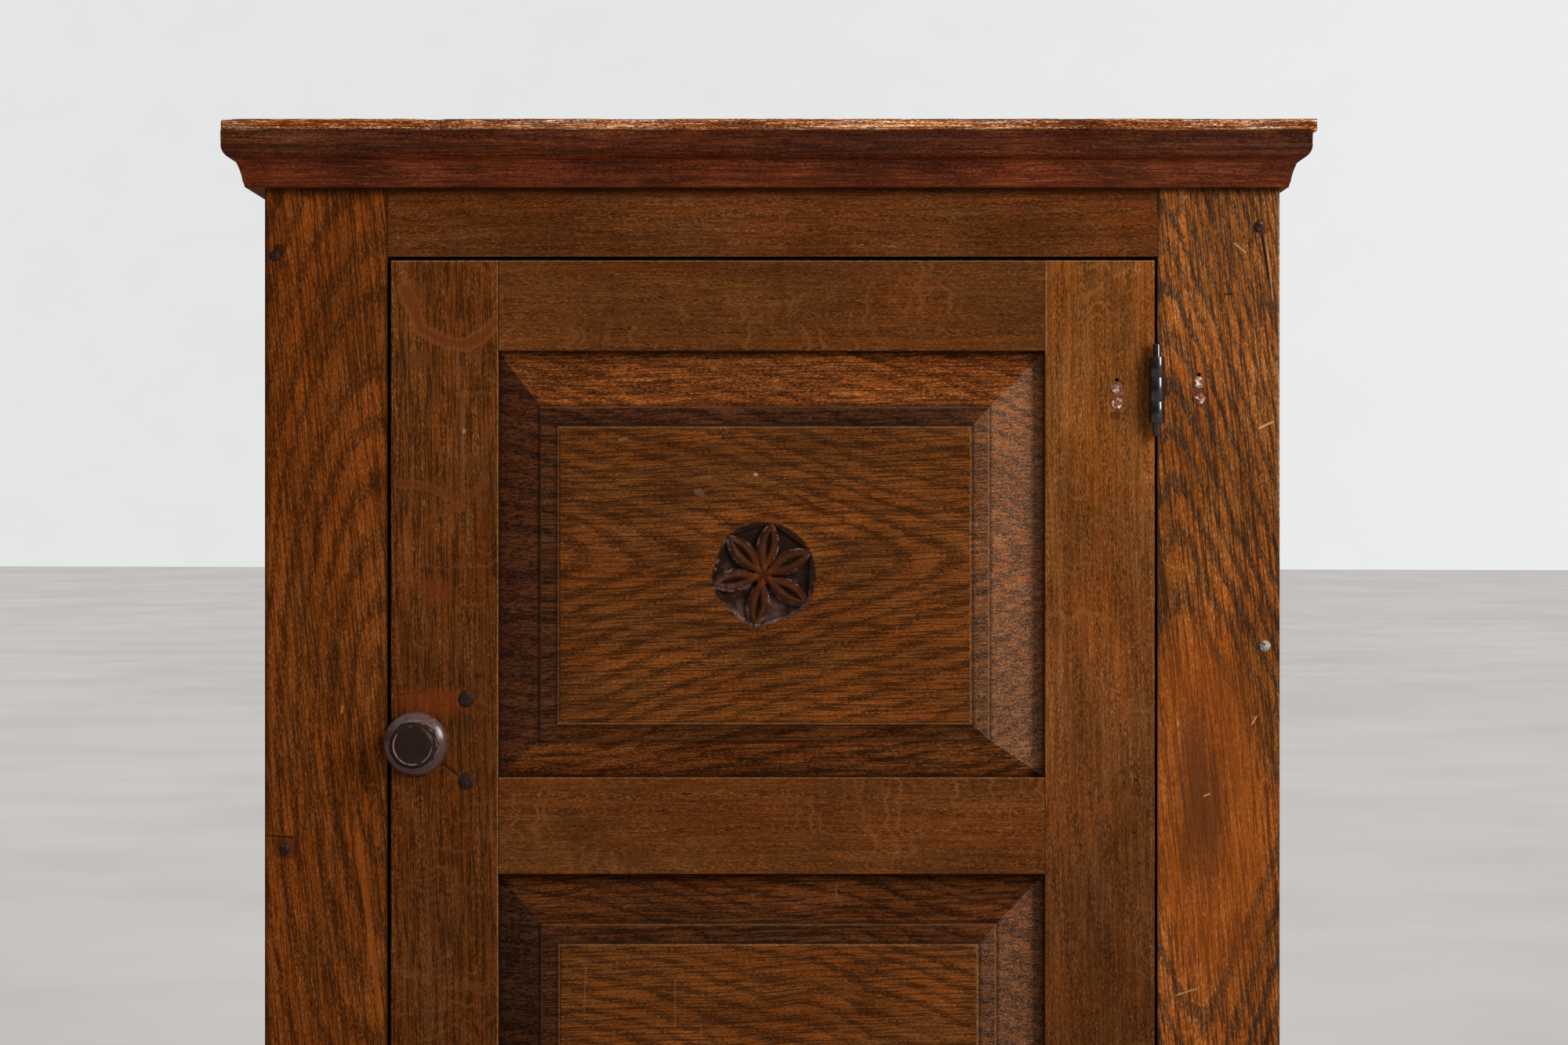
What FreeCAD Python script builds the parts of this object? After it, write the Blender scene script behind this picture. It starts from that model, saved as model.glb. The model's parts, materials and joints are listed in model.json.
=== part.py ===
import FreeCAD, Part
import math
import os

# A small country cupboard in old oak: a face frame with one inset door of two raised
# panels, plank sides and back, and a mitred cornice under a thin plank top.
# Millimetres. X runs to the right, Y to the back and Z up. The front looks towards -Y.

# Sizes of the case
body_width = 743.0
body_depth = 410.0
body_height = 1078.0

# Face frame: two stiles that run to the floor, and two rails tenoned between them
frame_thickness = 24.0
frame_stile_width = 89.5
frame_top_rail_height = 90.0
frame_bottom_rail_height = 70.0
foot_height = 72.0
frame_tenon_thickness = 8.0
frame_tenon_length = 50.0
frame_tenon_shoulder = 10.0
mortise_end_gap = 1.0

# Side planks, two to a side, with a tongue and groove between them
side_thickness = 22.0
side_front_plank_width = 212.0
tongue_thickness = 7.0
tongue_length = 8.0
tongue_end_gap = 0.6
plank_joint_gap = 0.8

# Bottom board, which stands proud of the bottom rail as the door's lower stop
bottom_board_thickness = 20.0
bottom_board_rise = 8.0
housing_depth = 7.0

# Shelves on battens
shelf_thickness = 18.0
shelf_front_setback = 18.0
shelf_side_gap = 0.5
shelf_height_shares = (0.33, 0.66)
batten_height = 25.0
batten_thickness = 20.0
batten_end_gap = 6.0

# Back boards, set in rebates of the rear side planks
back_thickness = 12.0
back_rebate_width = 11.0
back_board_count = 5
back_board_drop = 18.0
back_tongue_thickness = 4.0
back_tongue_length = 7.0
back_rail_height = 60.0
back_rail_thickness = 20.0

# Top boards
top_thickness = 8.5
top_edge_round = 2.6
top_right_overhang = 3.4
top_front_board_width = 232.0
top_joint_gap = 0.6

# Cornice moulding: fascia, ovolo, quirk, cavetto and lip
cornice_height = 40.0
cornice_projection = 25.0
cornice_shift = 4.0
cornice_ovolo_shares = ((0.992, 0.238), (0.905, 0.425), (0.665, 0.512))
cornice_cavetto_shares = ((0.610, 0.548), (0.492, 0.730), (0.428, 0.905))
cornice_lip_shares = ((0.400, 0.940), (0.380, 1.0))

# Strip behind the top rail that stops the door
stop_thickness = 12.0
stop_height = 22.0
stop_reveal = 8.0
stop_lap = 24.0

# Door, inset and flush with the face frame
door_stop_gap = 0.5
door_gap_knob_side = 3.0
door_gap_hinge_side = 2.0
door_gap_top = 3.0
door_gap_bottom = 3.0
door_knob_stile_width = 78.0
door_hinge_stile_width = 80.0
door_top_rail_height = 66.0
door_middle_rail_height = 70.5
door_bottom_rail_height = 78.0
door_groove_front = 10.4
door_groove_width = 7.0
door_groove_depth = 9.5
door_tenon_length = 48.0
door_tenon_shoulder = 12.0

# Raised and fielded panels, measured as depths behind the door's face
panel_tongue = 8.0
panel_groove_play = 0.1
panel_bevel_top_depth = 3.6
panel_step_height = 1.3
panel_step_run = 0.9
panel_band_sides = 13.0
panel_band_top = 14.6
panel_band_bottom = 11.8
upper_bevel_left = 31.0
upper_bevel_right = 41.0
upper_bevel_top = 41.0
upper_bevel_bottom = 27.5
lower_bevel_left = 31.5
lower_bevel_right = 36.0
lower_bevel_top = 37.0
lower_bevel_bottom = 30.0

# Rosette carved by hand in the field of the upper panel, a little to the left of its middle
rosette_radius = 39.0
rosette_shift = 1.2
petal_degrees = (27.0, 81.0, 132.0, 190.0, 260.0, 327.0)
rosette_edge_depth = 2.0
rosette_edge_run = 1.2
rosette_ground_depth = 4.8
rosette_ground_radius = 9.0
rosette_button_radius = 6.5
petal_tip_share = 1.03
petal_root_share = 0.10
petal_half_width = 8.2
petal_belly_share = 0.56
vein_start_share = 0.26
vein_end_share = 0.90
vein_half_width = 3.3
vein_depth = 2.8

# Loose pin hinges with three knuckles, their leaves let into the edges of the wood
hinge_from_door_end = 95.0
hinge_barrel_length = 48.0
hinge_barrel_radius = 5.75
hinge_face_gap = 0.45
hinge_knuckle_gap = 0.3
hinge_knuckle_shares = (0.32, 0.69)
hinge_pin_radius = 3.0
hinge_pin_play = 0.06
hinge_pin_tip = 10.0
hinge_pin_tip_chamfer = 0.8
hinge_leaf_thickness = 1.5
hinge_leaf_offset = 0.3
hinge_leaf_depth = 10.0
hinge_leaf_length = 40.0
hinge_leaf_fit = 0.12
hinge_nail_door_distance = 28.7
hinge_nail_frame_distance = 31.5
hinge_nail_door_shares = (0.16, -0.18)
hinge_nail_frame_shares = (0.24, -0.12)

# Nails: head radius, head height, shank radius and length of each kind
nail_fit = 0.05
nail_point_share = 0.12
nail_crown_share = 0.62
hinge_nail_head_radius = 3.9
hinge_nail_head_height = 1.2
hinge_nail_shank_radius = 1.3
hinge_nail_length = 19.0
frame_nail_head_radius = 4.1
frame_nail_head_height = 1.1
frame_nail_shank_radius = 1.7
frame_nail_length = 58.0
frame_nail_left_shares = ((0.33, 0.917), (0.66, 0.514), (0.50, 0.170))
frame_nail_right_shares = ((0.69, 0.937), (0.48, 0.652), (0.52, 0.205))
board_nail_head_radius = 3.0
board_nail_head_height = 0.7
board_nail_shank_radius = 1.3
board_nail_length = 32.0
board_nail_edge_share = 0.22
cornice_nail_head_radius = 1.6
cornice_nail_head_height = 0.3
cornice_nail_shank_radius = 0.9
cornice_nail_length = 40.0
cornice_nail_height_share = 0.12
cornice_nail_side_shares = (0.18, 0.86)

# Turned knob on an iron spindle, with a tongue behind the door
knob_from_door_edge = 18.0
knob_above_middle_rail = 25.0
knob_face_gap = 0.4
knob_reach = 26.0
knob_flange_radius = 23.8
knob_flange_share = 0.29
knob_flange_edge_share = 0.3
knob_flange_bulge_shares = (0.1, 0.7)
knob_back_share = 0.25
knob_head_start_share = 0.45
knob_head_radius = 17.8
knob_neck_radius = 11.0
knob_face_radius = 14.4
knob_groove_depth = 0.7
spindle_radius = 4.0
spindle_play = 0.06
spindle_in_knob_share = 0.62
spindle_button_radius = 6.5
spindle_button_height = 2.0
spindle_square = 5.6
tongue_bar_length = 52.0
tongue_bar_width = 20.0
tongue_bar_thickness = 5.0
tongue_bar_gap = 0.3
latch_plate_thickness = 2.0
latch_plate_edge_gap = 2.0
latch_plate_width = 64.0
latch_plate_height = 88.0
latch_plate_corner = 6.0
rivet_from_knob = 37.0
rivet_spacing = 60.0
rivet_rise = 2.6
rivet_head_radius = 6.0
rivet_head_height = 1.6
rivet_shank_radius = 2.6
rivet_tail_radius = 4.2
rivet_tail_height = 1.0

# How far a cutter runs past what it cuts, and the shortest edge that a plan keeps
overrun = 2.0
least_edge = 0.05

# Places that follow from the sizes. The whole outline is centred on the origin.
cornice_left = cornice_projection + cornice_shift
cornice_right = cornice_projection - cornice_shift
centre_x = (cornice_left - cornice_right - top_right_overhang) / 2
front_reach = max(cornice_projection, knob_face_gap + knob_reach)
face_y = (front_reach - body_depth) / 2
frame_back_y = face_y + frame_thickness
rear_y = face_y + body_depth
back_front_y = rear_y - back_thickness
left_x = centre_x - body_width / 2
right_x = centre_x + body_width / 2
inner_left_x = left_x + side_thickness
inner_right_x = right_x - side_thickness

opening_left = left_x + frame_stile_width
opening_right = right_x - frame_stile_width
opening_bottom = foot_height + frame_bottom_rail_height
opening_top = body_height - frame_top_rail_height
frame_tenon_y = face_y + (frame_thickness - frame_tenon_thickness) / 2

bottom_board_top = opening_bottom + bottom_board_rise
bottom_board_under = bottom_board_top - bottom_board_thickness
shelf_front_y = frame_back_y + shelf_front_setback

door_thickness = frame_thickness - door_stop_gap
door_left = opening_left + door_gap_knob_side
door_right = opening_right - door_gap_hinge_side
door_bottom = opening_bottom + door_gap_bottom
door_top = opening_top - door_gap_top
door_back_y = face_y + door_thickness
light_left = door_left + door_knob_stile_width
light_right = door_right - door_hinge_stile_width
door_rails_height = door_top_rail_height + door_middle_rail_height + door_bottom_rail_height
light_height = (door_top - door_bottom - door_rails_height) / 2
lower_light_bottom = door_bottom + door_bottom_rail_height
middle_rail_bottom = lower_light_bottom + light_height
upper_light_bottom = middle_rail_bottom + door_middle_rail_height
top_rail_bottom = upper_light_bottom + light_height
groove_y = face_y + door_groove_front
panel_back_y = groove_y + door_groove_width

hinge_x = opening_right - door_gap_hinge_side / 2
hinge_y = face_y - hinge_barrel_radius - hinge_face_gap
hinge_heights = {
    "upper": door_top - hinge_from_door_end,
    "lower": door_bottom + hinge_from_door_end,
}

knob_x = door_left + knob_from_door_edge
knob_z = upper_light_bottom + knob_above_middle_rail
latch_plate_back_y = door_back_y + latch_plate_thickness
tongue_front_y = latch_plate_back_y + tongue_bar_gap
tongue_back_y = tongue_front_y + tongue_bar_thickness
rivet_x = knob_x + rivet_from_knob
rivet_centre_z = knob_z + rivet_rise

nodes = {}
across = FreeCAD.Vector(1, 0, 0)
inwards = FreeCAD.Vector(0, 1, 0)
up = FreeCAD.Vector(0, 0, 1)


def point(x, y, z):
    return FreeCAD.Vector(x, y, z)


def block(x0, x1, y0, y1, z0, z1):
    """A squared piece of wood between two corners."""
    return Part.makeBox(x1 - x0, y1 - y0, z1 - z0, point(x0, y0, z0))


def rod(start, direction, radius, length):
    return Part.makeCylinder(radius, length, start, direction)


def prism(points, run):
    """A flat outline pushed along a direction."""
    return Part.Face(Part.makePolygon(points + points[:1])).extrude(run)


def layers(loops):
    """A solid whose skin joins one closed loop of corners to the next, with flat faces."""
    faces = [Part.Face(Part.makePolygon(loops[0] + loops[0][:1]))]
    for low, high in zip(loops, loops[1:]):
        for i in range(len(low)):
            k = (i + 1) % len(low)
            quad = [low[i], low[k], high[k], high[i]]
            faces.append(Part.Face(Part.makePolygon(quad + quad[:1])))
    faces.append(Part.Face(Part.makePolygon(loops[-1] + loops[-1][:1])))
    solid = Part.makeSolid(Part.makeShell(faces))
    if solid.Volume < 0:
        solid.reverse()
    return solid


def turned(outline, start, tilt_axis, tilt_degrees):
    """A turned form: an outline of radius and height about Z, then tilted and placed."""
    form = Part.Face(outline).revolve(point(0, 0, 0), point(0, 0, 1), 360)
    form.rotate(point(0, 0, 0), tilt_axis, tilt_degrees)
    form.translate(start)
    return form


def facing_front(shape):
    """Turns a form made with +Z towards the viewer so that it looks towards -Y."""
    shape.rotate(point(0, 0, 0), point(1, 0, 0), 90)
    return shape


def nail(place, direction, sizes, sunk):
    """A pointed nail along direction. Its head is crowned on the surface, or flat and sunk."""
    head_radius, head_height, shank_radius, length = sizes
    body_length = length * (1 - nail_point_share)
    if sunk:
        head = rod(place, direction, head_radius, head_height)
    else:
        head = Part.makeCone(head_radius, head_radius * nail_crown_share, head_height, place, direction * -1)
    shank = rod(place, direction, shank_radius, body_length)
    tip_start = place + direction * body_length
    tip = Part.makeCone(shank_radius, 0, length - body_length, tip_start, direction)
    return head.fuse([shank, tip]).removeSplitter()


def drive(name, places, direction, sizes, targets, sunk=False):
    """Adds alike nails to a group and bores each piece that they pass through."""
    head_radius, head_height, shank_radius, length = sizes
    made = [nail(p, direction, sizes, sunk) for p in places]
    before = nodes[name].Solids if name in nodes else []
    nodes[name] = Part.makeCompound(before + made)
    bores = [rod(p, direction, shank_radius + nail_fit, length + nail_fit) for p in places]
    if sunk:
        bores += [rod(p, direction, head_radius + nail_fit, head_height) for p in places]
    for target in targets:
        nodes[target] = nodes[target].cut(bores)


# Face frame
rails = {
    "top": (opening_top, body_height),
    "bottom": (foot_height, opening_bottom),
}


def frame_mortises(edge_x, outward):
    """Sockets for both rails, cut from a stile's inner edge outwards."""
    deep = edge_x + outward * (frame_tenon_length + mortise_end_gap)
    x0, x1 = min(edge_x, deep), max(edge_x, deep)
    y1 = frame_tenon_y + frame_tenon_thickness
    cuts = []
    for low, high in rails.values():
        z0, z1 = low + frame_tenon_shoulder, high - frame_tenon_shoulder
        cuts.append(block(x0, x1, frame_tenon_y, y1, z0, z1))
    return cuts


stile = block(left_x, opening_left, face_y, frame_back_y, 0, body_height)
nodes["frame_stile_left"] = stile.cut(frame_mortises(opening_left, -1))
stile = block(opening_right, right_x, face_y, frame_back_y, 0, body_height)
nodes["frame_stile_right"] = stile.cut(frame_mortises(opening_right, 1))

for key, (low, high) in rails.items():
    rail = block(opening_left, opening_right, face_y, frame_back_y, low, high)
    tenon = block(
        opening_left - frame_tenon_length,
        opening_right + frame_tenon_length,
        frame_tenon_y,
        frame_tenon_y + frame_tenon_thickness,
        low + frame_tenon_shoulder,
        high - frame_tenon_shoulder,
    )
    nodes["frame_rail_" + key] = rail.fuse(tenon).removeSplitter()

# Side planks, with the housing for the bottom board and the rebate for the back
plank_joint_y = frame_back_y + side_front_plank_width
housing = block(
    inner_left_x - housing_depth,
    inner_right_x + housing_depth,
    frame_back_y,
    back_front_y,
    bottom_board_under,
    bottom_board_top,
)
rebate_left = left_x + side_thickness - back_rebate_width
rebate_right = right_x - side_thickness + back_rebate_width
rebate = block(rebate_left, rebate_right, back_front_y, rear_y + overrun, -overrun, body_height + overrun)

for side, outer_x, inner_x in (("left", left_x, inner_left_x), ("right", right_x, inner_right_x)):
    x0, x1 = min(outer_x, inner_x), max(outer_x, inner_x)
    tongue_x = (x0 + x1 - tongue_thickness) / 2
    front = block(x0, x1, frame_back_y, plank_joint_y, 0, body_height)
    tongue = block(
        tongue_x,
        tongue_x + tongue_thickness,
        plank_joint_y,
        plank_joint_y + plank_joint_gap + tongue_length,
        0,
        body_height,
    )
    rear = block(x0, x1, plank_joint_y + plank_joint_gap, rear_y, 0, body_height)
    groove = block(
        tongue_x,
        tongue_x + tongue_thickness,
        plank_joint_y,
        plank_joint_y + plank_joint_gap + tongue_length + tongue_end_gap,
        -overrun,
        body_height + overrun,
    )
    nodes["side_board_" + side + "_front"] = front.fuse(tongue).cut(housing)
    nodes["side_board_" + side + "_rear"] = rear.cut([groove, housing, rebate])

nodes["bottom_board"] = housing.copy()

# Shelves and their battens
clear_height = body_height - bottom_board_top
for key, share in zip(("lower", "upper"), shelf_height_shares):
    under = bottom_board_top + clear_height * share
    nodes["shelf_" + key] = block(
        inner_left_x + shelf_side_gap,
        inner_right_x - shelf_side_gap,
        shelf_front_y,
        back_front_y,
        under,
        under + shelf_thickness,
    )
    batten_front = shelf_front_y + batten_end_gap
    batten_rear = back_front_y - batten_end_gap
    for side, wall_x, inward in (("left", inner_left_x, 1), ("right", inner_right_x, -1)):
        far_x = wall_x + inward * batten_thickness
        nodes["shelf_batten_" + key + "_" + side] = block(
            min(wall_x, far_x),
            max(wall_x, far_x),
            batten_front,
            batten_rear,
            under - batten_height,
            under,
        )

# Back boards, each with a groove on its left edge and a tongue on its right
back_low = bottom_board_under - back_board_drop
back_pitch = (rebate_right - rebate_left) / back_board_count
back_tongue_y = back_front_y + (back_thickness - back_tongue_thickness) / 2
for i in range(back_board_count):
    x0 = rebate_left + back_pitch * i
    x1 = x0 + back_pitch
    if i < back_board_count - 1:
        x1 = x1 - plank_joint_gap
    board = block(x0, x1, back_front_y, rear_y, back_low, body_height)
    if i < back_board_count - 1:
        board = board.fuse(
            block(
                x1,
                x1 + plank_joint_gap + back_tongue_length,
                back_tongue_y,
                back_tongue_y + back_tongue_thickness,
                back_low,
                body_height,
            )
        )
    if i > 0:
        board = board.cut(
            block(
                x0 - overrun,
                x0 + back_tongue_length + tongue_end_gap,
                back_tongue_y,
                back_tongue_y + back_tongue_thickness,
                back_low - overrun,
                body_height + overrun,
            )
        )
    nodes["back_board_" + str(i + 1)] = board.removeSplitter()

back_rail_y = back_front_y - back_rail_thickness
back_rail_low = body_height - back_rail_height
nodes["back_rail"] = block(inner_left_x, inner_right_x, back_rail_y, back_front_y, back_rail_low, body_height)

# Strip that stops the door at the top
nodes["door_stop"] = block(
    opening_left - stop_lap,
    opening_right + stop_lap,
    frame_back_y,
    frame_back_y + stop_thickness,
    opening_top - stop_reveal,
    opening_top - stop_reveal + stop_height,
)

# Top boards with worn, rounded edges
top_left_x = left_x - cornice_left
top_right_x = right_x + cornice_right + top_right_overhang
top_front_y = face_y - cornice_projection
top_joint_y = top_front_y + top_front_board_width
top_high = body_height + top_thickness


def rounded_board(y0, y1, rounded_y):
    """A board whose ends, and the long edge at rounded_y, are rounded above and below."""
    board = block(top_left_x, top_right_x, y0, y1, body_height, top_high)
    edges = []
    for edge in board.Edges:
        middle = edge.BoundBox.Center
        level = edge.BoundBox.ZLength < top_edge_round
        at_end = min(abs(middle.x - top_left_x), abs(middle.x - top_right_x)) < top_edge_round
        at_long = rounded_y is not None and abs(middle.y - rounded_y) < top_edge_round
        if level and (at_end or at_long):
            edges.append(edge)
    return board.makeFillet(top_edge_round, edges)


nodes["top_board_front"] = rounded_board(top_front_y, top_joint_y, top_front_y)
nodes["top_board_rear"] = rounded_board(top_joint_y + top_joint_gap, rear_y, None)


# Cornice
def cornice_outline(extra):
    """The moulding's section as a wire: first number outwards, second number up."""
    reach, tall = cornice_projection, cornice_height

    def at(share):
        return point(extra + reach * share[0], 0, body_height - tall * share[1])

    ovolo = [at(s) for s in cornice_ovolo_shares]
    cavetto = [at(s) for s in cornice_cavetto_shares]
    lip = [at(s) for s in cornice_lip_shares]
    top_in, top_out = point(0, 0, body_height), at((1, 0))
    low_in = point(0, 0, body_height - tall)
    edges = [
        Part.makeLine(top_in, top_out),
        Part.makeLine(top_out, ovolo[0]),
        Part.Arc(*ovolo).toShape(),
        Part.makeLine(ovolo[-1], cavetto[0]),
        Part.Arc(*cavetto).toShape(),
        Part.makeLine(cavetto[-1], lip[0]),
        Part.makeLine(lip[0], lip[1]),
        Part.makeLine(lip[1], low_in),
        Part.makeLine(low_in, top_in),
    ]
    return Part.Face(Part.Wire(edges))


def plan_prism(points):
    """An upright prism over a plan outline, a little taller than the moulding."""
    base = body_height - cornice_height - overrun
    corners = []
    for x, y in points:
        corner = point(x, y, base)
        if not corners or (corner - corners[-1]).Length > least_edge:
            corners.append(corner)
    return prism(corners, point(0, 0, cornice_height + 2 * overrun))


def mitre_end(outer_x, side_reach, inward):
    """Inner end of the mitre that starts at an outer front corner."""
    run = min(cornice_projection, side_reach)
    return (outer_x + inward * run, top_front_y + run)


cornice_left_x = left_x - cornice_left
cornice_right_x = right_x + cornice_right
mitre_left = mitre_end(cornice_left_x, cornice_left, 1)
mitre_right = mitre_end(cornice_right_x, cornice_right, -1)

section = cornice_outline(0)
section.rotate(point(0, 0, 0), point(0, 0, 1), -90)
section.translate(point(cornice_left_x, face_y, 0))
length = section.extrude(point(cornice_right_x - cornice_left_x, 0, 0))
plan = [
    (cornice_left_x, top_front_y),
    (cornice_right_x, top_front_y),
    mitre_right,
    (mitre_right[0], face_y),
    (mitre_left[0], face_y),
    mitre_left,
]
nodes["cornice_front"] = length.common(plan_prism(plan))
for side, outer_x, wall_x, mitre, extra in (
    ("left", cornice_left_x, left_x, mitre_left, cornice_shift),
    ("right", cornice_right_x, right_x, mitre_right, -cornice_shift),
):
    section = cornice_outline(extra)
    if side == "left":
        section.rotate(point(0, 0, 0), point(0, 0, 1), 180)
    section.translate(point(wall_x, top_front_y, 0))
    length = section.extrude(point(0, rear_y - top_front_y, 0))
    plan = [(outer_x, top_front_y), mitre, (wall_x, mitre[1]), (wall_x, rear_y), (outer_x, rear_y)]
    nodes["cornice_" + side] = length.common(plan_prism(plan))


# Door: stiles with grooves and mortises, rails with tenons and grooves
groove_back_y = groove_y + door_groove_width
door_rails = {
    "top": (top_rail_bottom, door_top),
    "middle": (middle_rail_bottom, upper_light_bottom),
    "bottom": (door_bottom, lower_light_bottom),
}


def door_stile(x0, x1, edge_x, outward):
    """A door stile with the panel groove along its inner edge and a mortise for each rail."""
    shape = block(x0, x1, face_y, door_back_y, door_bottom, door_top)
    bottom_x = edge_x + outward * door_groove_depth
    near, far = min(edge_x, bottom_x), max(edge_x, bottom_x)
    groove_low, groove_high = lower_light_bottom - door_groove_depth, top_rail_bottom + door_groove_depth
    cuts = [block(near, far, groove_y, groove_back_y, groove_low, groove_high)]
    deep_x = edge_x + outward * (door_tenon_length + mortise_end_gap)
    near, far = min(edge_x, deep_x), max(edge_x, deep_x)
    for low, high in door_rails.values():
        z0, z1 = low + door_tenon_shoulder, high - door_tenon_shoulder
        cuts.append(block(near, far, groove_y, groove_back_y, z0, z1))
    return shape.cut(cuts)


nodes["door_stile_knob_side"] = door_stile(door_left, light_left, light_left, -1)
nodes["door_stile_hinge_side"] = door_stile(light_right, door_right, light_right, 1)

for key, (low, high) in door_rails.items():
    rail = block(light_left, light_right, face_y, door_back_y, low, high)
    tenon = block(
        light_left - door_tenon_length,
        light_right + door_tenon_length,
        groove_y,
        groove_back_y,
        low + door_tenon_shoulder,
        high - door_tenon_shoulder,
    )
    rail = rail.fuse(tenon)
    cuts = []
    if key != "top":
        top_groove = high - door_groove_depth
        cuts.append(block(light_left, light_right, groove_y, groove_back_y, top_groove, high))
    if key != "bottom":
        under_groove = low + door_groove_depth
        cuts.append(block(light_left, light_right, groove_y, groove_back_y, low, under_groove))
    nodes["door_rail_" + key] = rail.cut(cuts).removeSplitter()


# Raised panels
def raised_panel(low, high, left, right, top, bottom):
    """A panel with a tongue all round, a bevel, a flat band and a raised field."""

    def loop(inset_left, inset_right, inset_top, inset_bottom, y):
        x0, x1 = light_left + inset_left, light_right - inset_right
        z0, z1 = low + inset_bottom, high - inset_top
        return [point(x0, y, z0), point(x1, y, z0), point(x1, y, z1), point(x0, y, z1)]

    tongue_y = groove_y + panel_groove_play
    bevel_y = face_y + panel_bevel_top_depth
    band_y = bevel_y - panel_step_height
    field_y = band_y - panel_step_height
    run = panel_step_run
    band = (
        left + run + panel_band_sides,
        right + run + panel_band_sides,
        top + run + panel_band_top,
        bottom + run + panel_band_bottom,
    )
    loops = [
        loop(-panel_tongue, -panel_tongue, -panel_tongue, -panel_tongue, panel_back_y),
        loop(-panel_tongue, -panel_tongue, -panel_tongue, -panel_tongue, tongue_y),
        loop(0, 0, 0, 0, tongue_y),
        loop(left, right, top, bottom, bevel_y),
        loop(left + run, right + run, top + run, bottom + run, band_y),
        loop(*band, band_y),
        loop(*[inset + run for inset in band], field_y),
    ]
    field_x = (loops[-1][0].x + loops[-1][1].x) / 2
    field_z = (loops[-1][0].z + loops[-1][2].z) / 2
    return layers(loops), point(field_x, field_y, field_z)


def hexagon(radius, height):
    """Corners of the rosette's outline, one at the tip of each petal."""
    corners = []
    for degrees in petal_degrees:
        angle = math.radians(degrees)
        corners.append(point(radius * math.cos(angle), radius * math.sin(angle), height))
    return corners


def petal_blank():
    """A leaf seen from the front: two arcs that meet at the root and at the tip."""
    root, tip = rosette_radius * petal_root_share, rosette_radius * petal_tip_share
    belly = root + (tip - root) * petal_belly_share
    under = -rosette_ground_depth - overrun
    ends = (point(root, 0, under), point(tip, 0, under))
    upper = Part.Arc(ends[0], point(belly, petal_half_width, under), ends[1]).toShape()
    lower = Part.Arc(ends[1], point(belly, -petal_half_width, under), ends[0]).toShape()
    blank = Part.Face(Part.Wire([upper, lower]))
    return blank.extrude(point(0, 0, rosette_ground_depth + 2 * overrun))


def vein_cuts():
    """A groove of V section whose bottom is an arc, so that it is leaf shaped at the surface."""
    start, end = rosette_radius * vein_start_share, rosette_radius * vein_end_share
    first, last = point(start, 0, 0), point(end, 0, 0)
    keel = Part.Arc(first, point((start + end) / 2, 0, -vein_depth), last).toShape()
    blade = Part.Face(Part.Wire([keel, Part.makeLine(last, first)]))
    rise = (vein_depth + overrun) / vein_depth
    return [
        blade.extrude(point(0, vein_half_width * rise, vein_depth * rise)),
        blade.extrude(point(0, -vein_half_width * rise, vein_depth * rise)),
    ]


def rosette_cutters():
    """The sunk ground between the petals, and a vein in each petal."""
    ground = layers(
        [
            hexagon(rosette_radius, overrun),
            hexagon(rosette_radius, 0),
            hexagon(rosette_radius - rosette_edge_run, -rosette_edge_depth),
            hexagon(rosette_ground_radius, -rosette_ground_depth),
        ]
    )
    under = point(0, 0, -rosette_ground_depth - overrun)
    button = rod(under, point(0, 0, 1), rosette_button_radius, rosette_ground_depth + 2 * overrun)
    keep = [button]
    veins = []
    for degrees in petal_degrees:
        leaf = petal_blank()
        leaf.rotate(point(0, 0, 0), point(0, 0, 1), degrees)
        keep.append(leaf)
        for vein in vein_cuts():
            vein.rotate(point(0, 0, 0), point(0, 0, 1), degrees)
            veins.append(vein)
    return [ground.cut(keep)] + veins


bevels = (upper_bevel_left, upper_bevel_right, upper_bevel_top, upper_bevel_bottom)
upper_panel, rosette_centre = raised_panel(upper_light_bottom, top_rail_bottom, *bevels)
rosette_centre.x = rosette_centre.x - rosette_shift
for cutter in rosette_cutters():
    facing_front(cutter)
    cutter.translate(rosette_centre)
    upper_panel = upper_panel.cut(cutter)
nodes["door_panel_upper"] = upper_panel
bevels = (lower_bevel_left, lower_bevel_right, lower_bevel_top, lower_bevel_bottom)
nodes["door_panel_lower"] = raised_panel(lower_light_bottom, middle_rail_bottom, *bevels)[0]

# Hinges
def knuckle(z0, z1, side):
    """One knuckle with the strip that runs back from it into the gap beside the door."""
    barrel = rod(point(hinge_x, hinge_y, z0), up, hinge_barrel_radius, z1 - z0)
    near = hinge_x + side * hinge_leaf_offset
    far = near + side * hinge_leaf_thickness
    neck = block(min(near, far), max(near, far), hinge_y, face_y + hinge_face_gap, z0, z1)
    return barrel.fuse(neck)


def leaf_plates(low, high, side, grow):
    """The strip in the gap and the plate in the wood. grow widens them into an open socket."""
    near = hinge_x + side * hinge_leaf_offset
    bend = near + side * hinge_leaf_thickness
    tip = hinge_x + side * hinge_leaf_length
    plate_y = face_y + hinge_leaf_depth
    z0, z1 = low - grow, high + grow
    strip_x = (min(near, bend) - grow, max(near, bend) + grow)
    plate_x = (min(near, tip) - grow, max(near, tip) + grow)
    end_y = plate_y + hinge_leaf_thickness + grow
    mouth_y = hinge_y if grow else face_y + hinge_face_gap
    strip = block(*strip_x, mouth_y, end_y, z0, z1)
    plate = block(*plate_x, plate_y - grow, end_y, z0, z1)
    return strip.fuse(plate)


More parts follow.
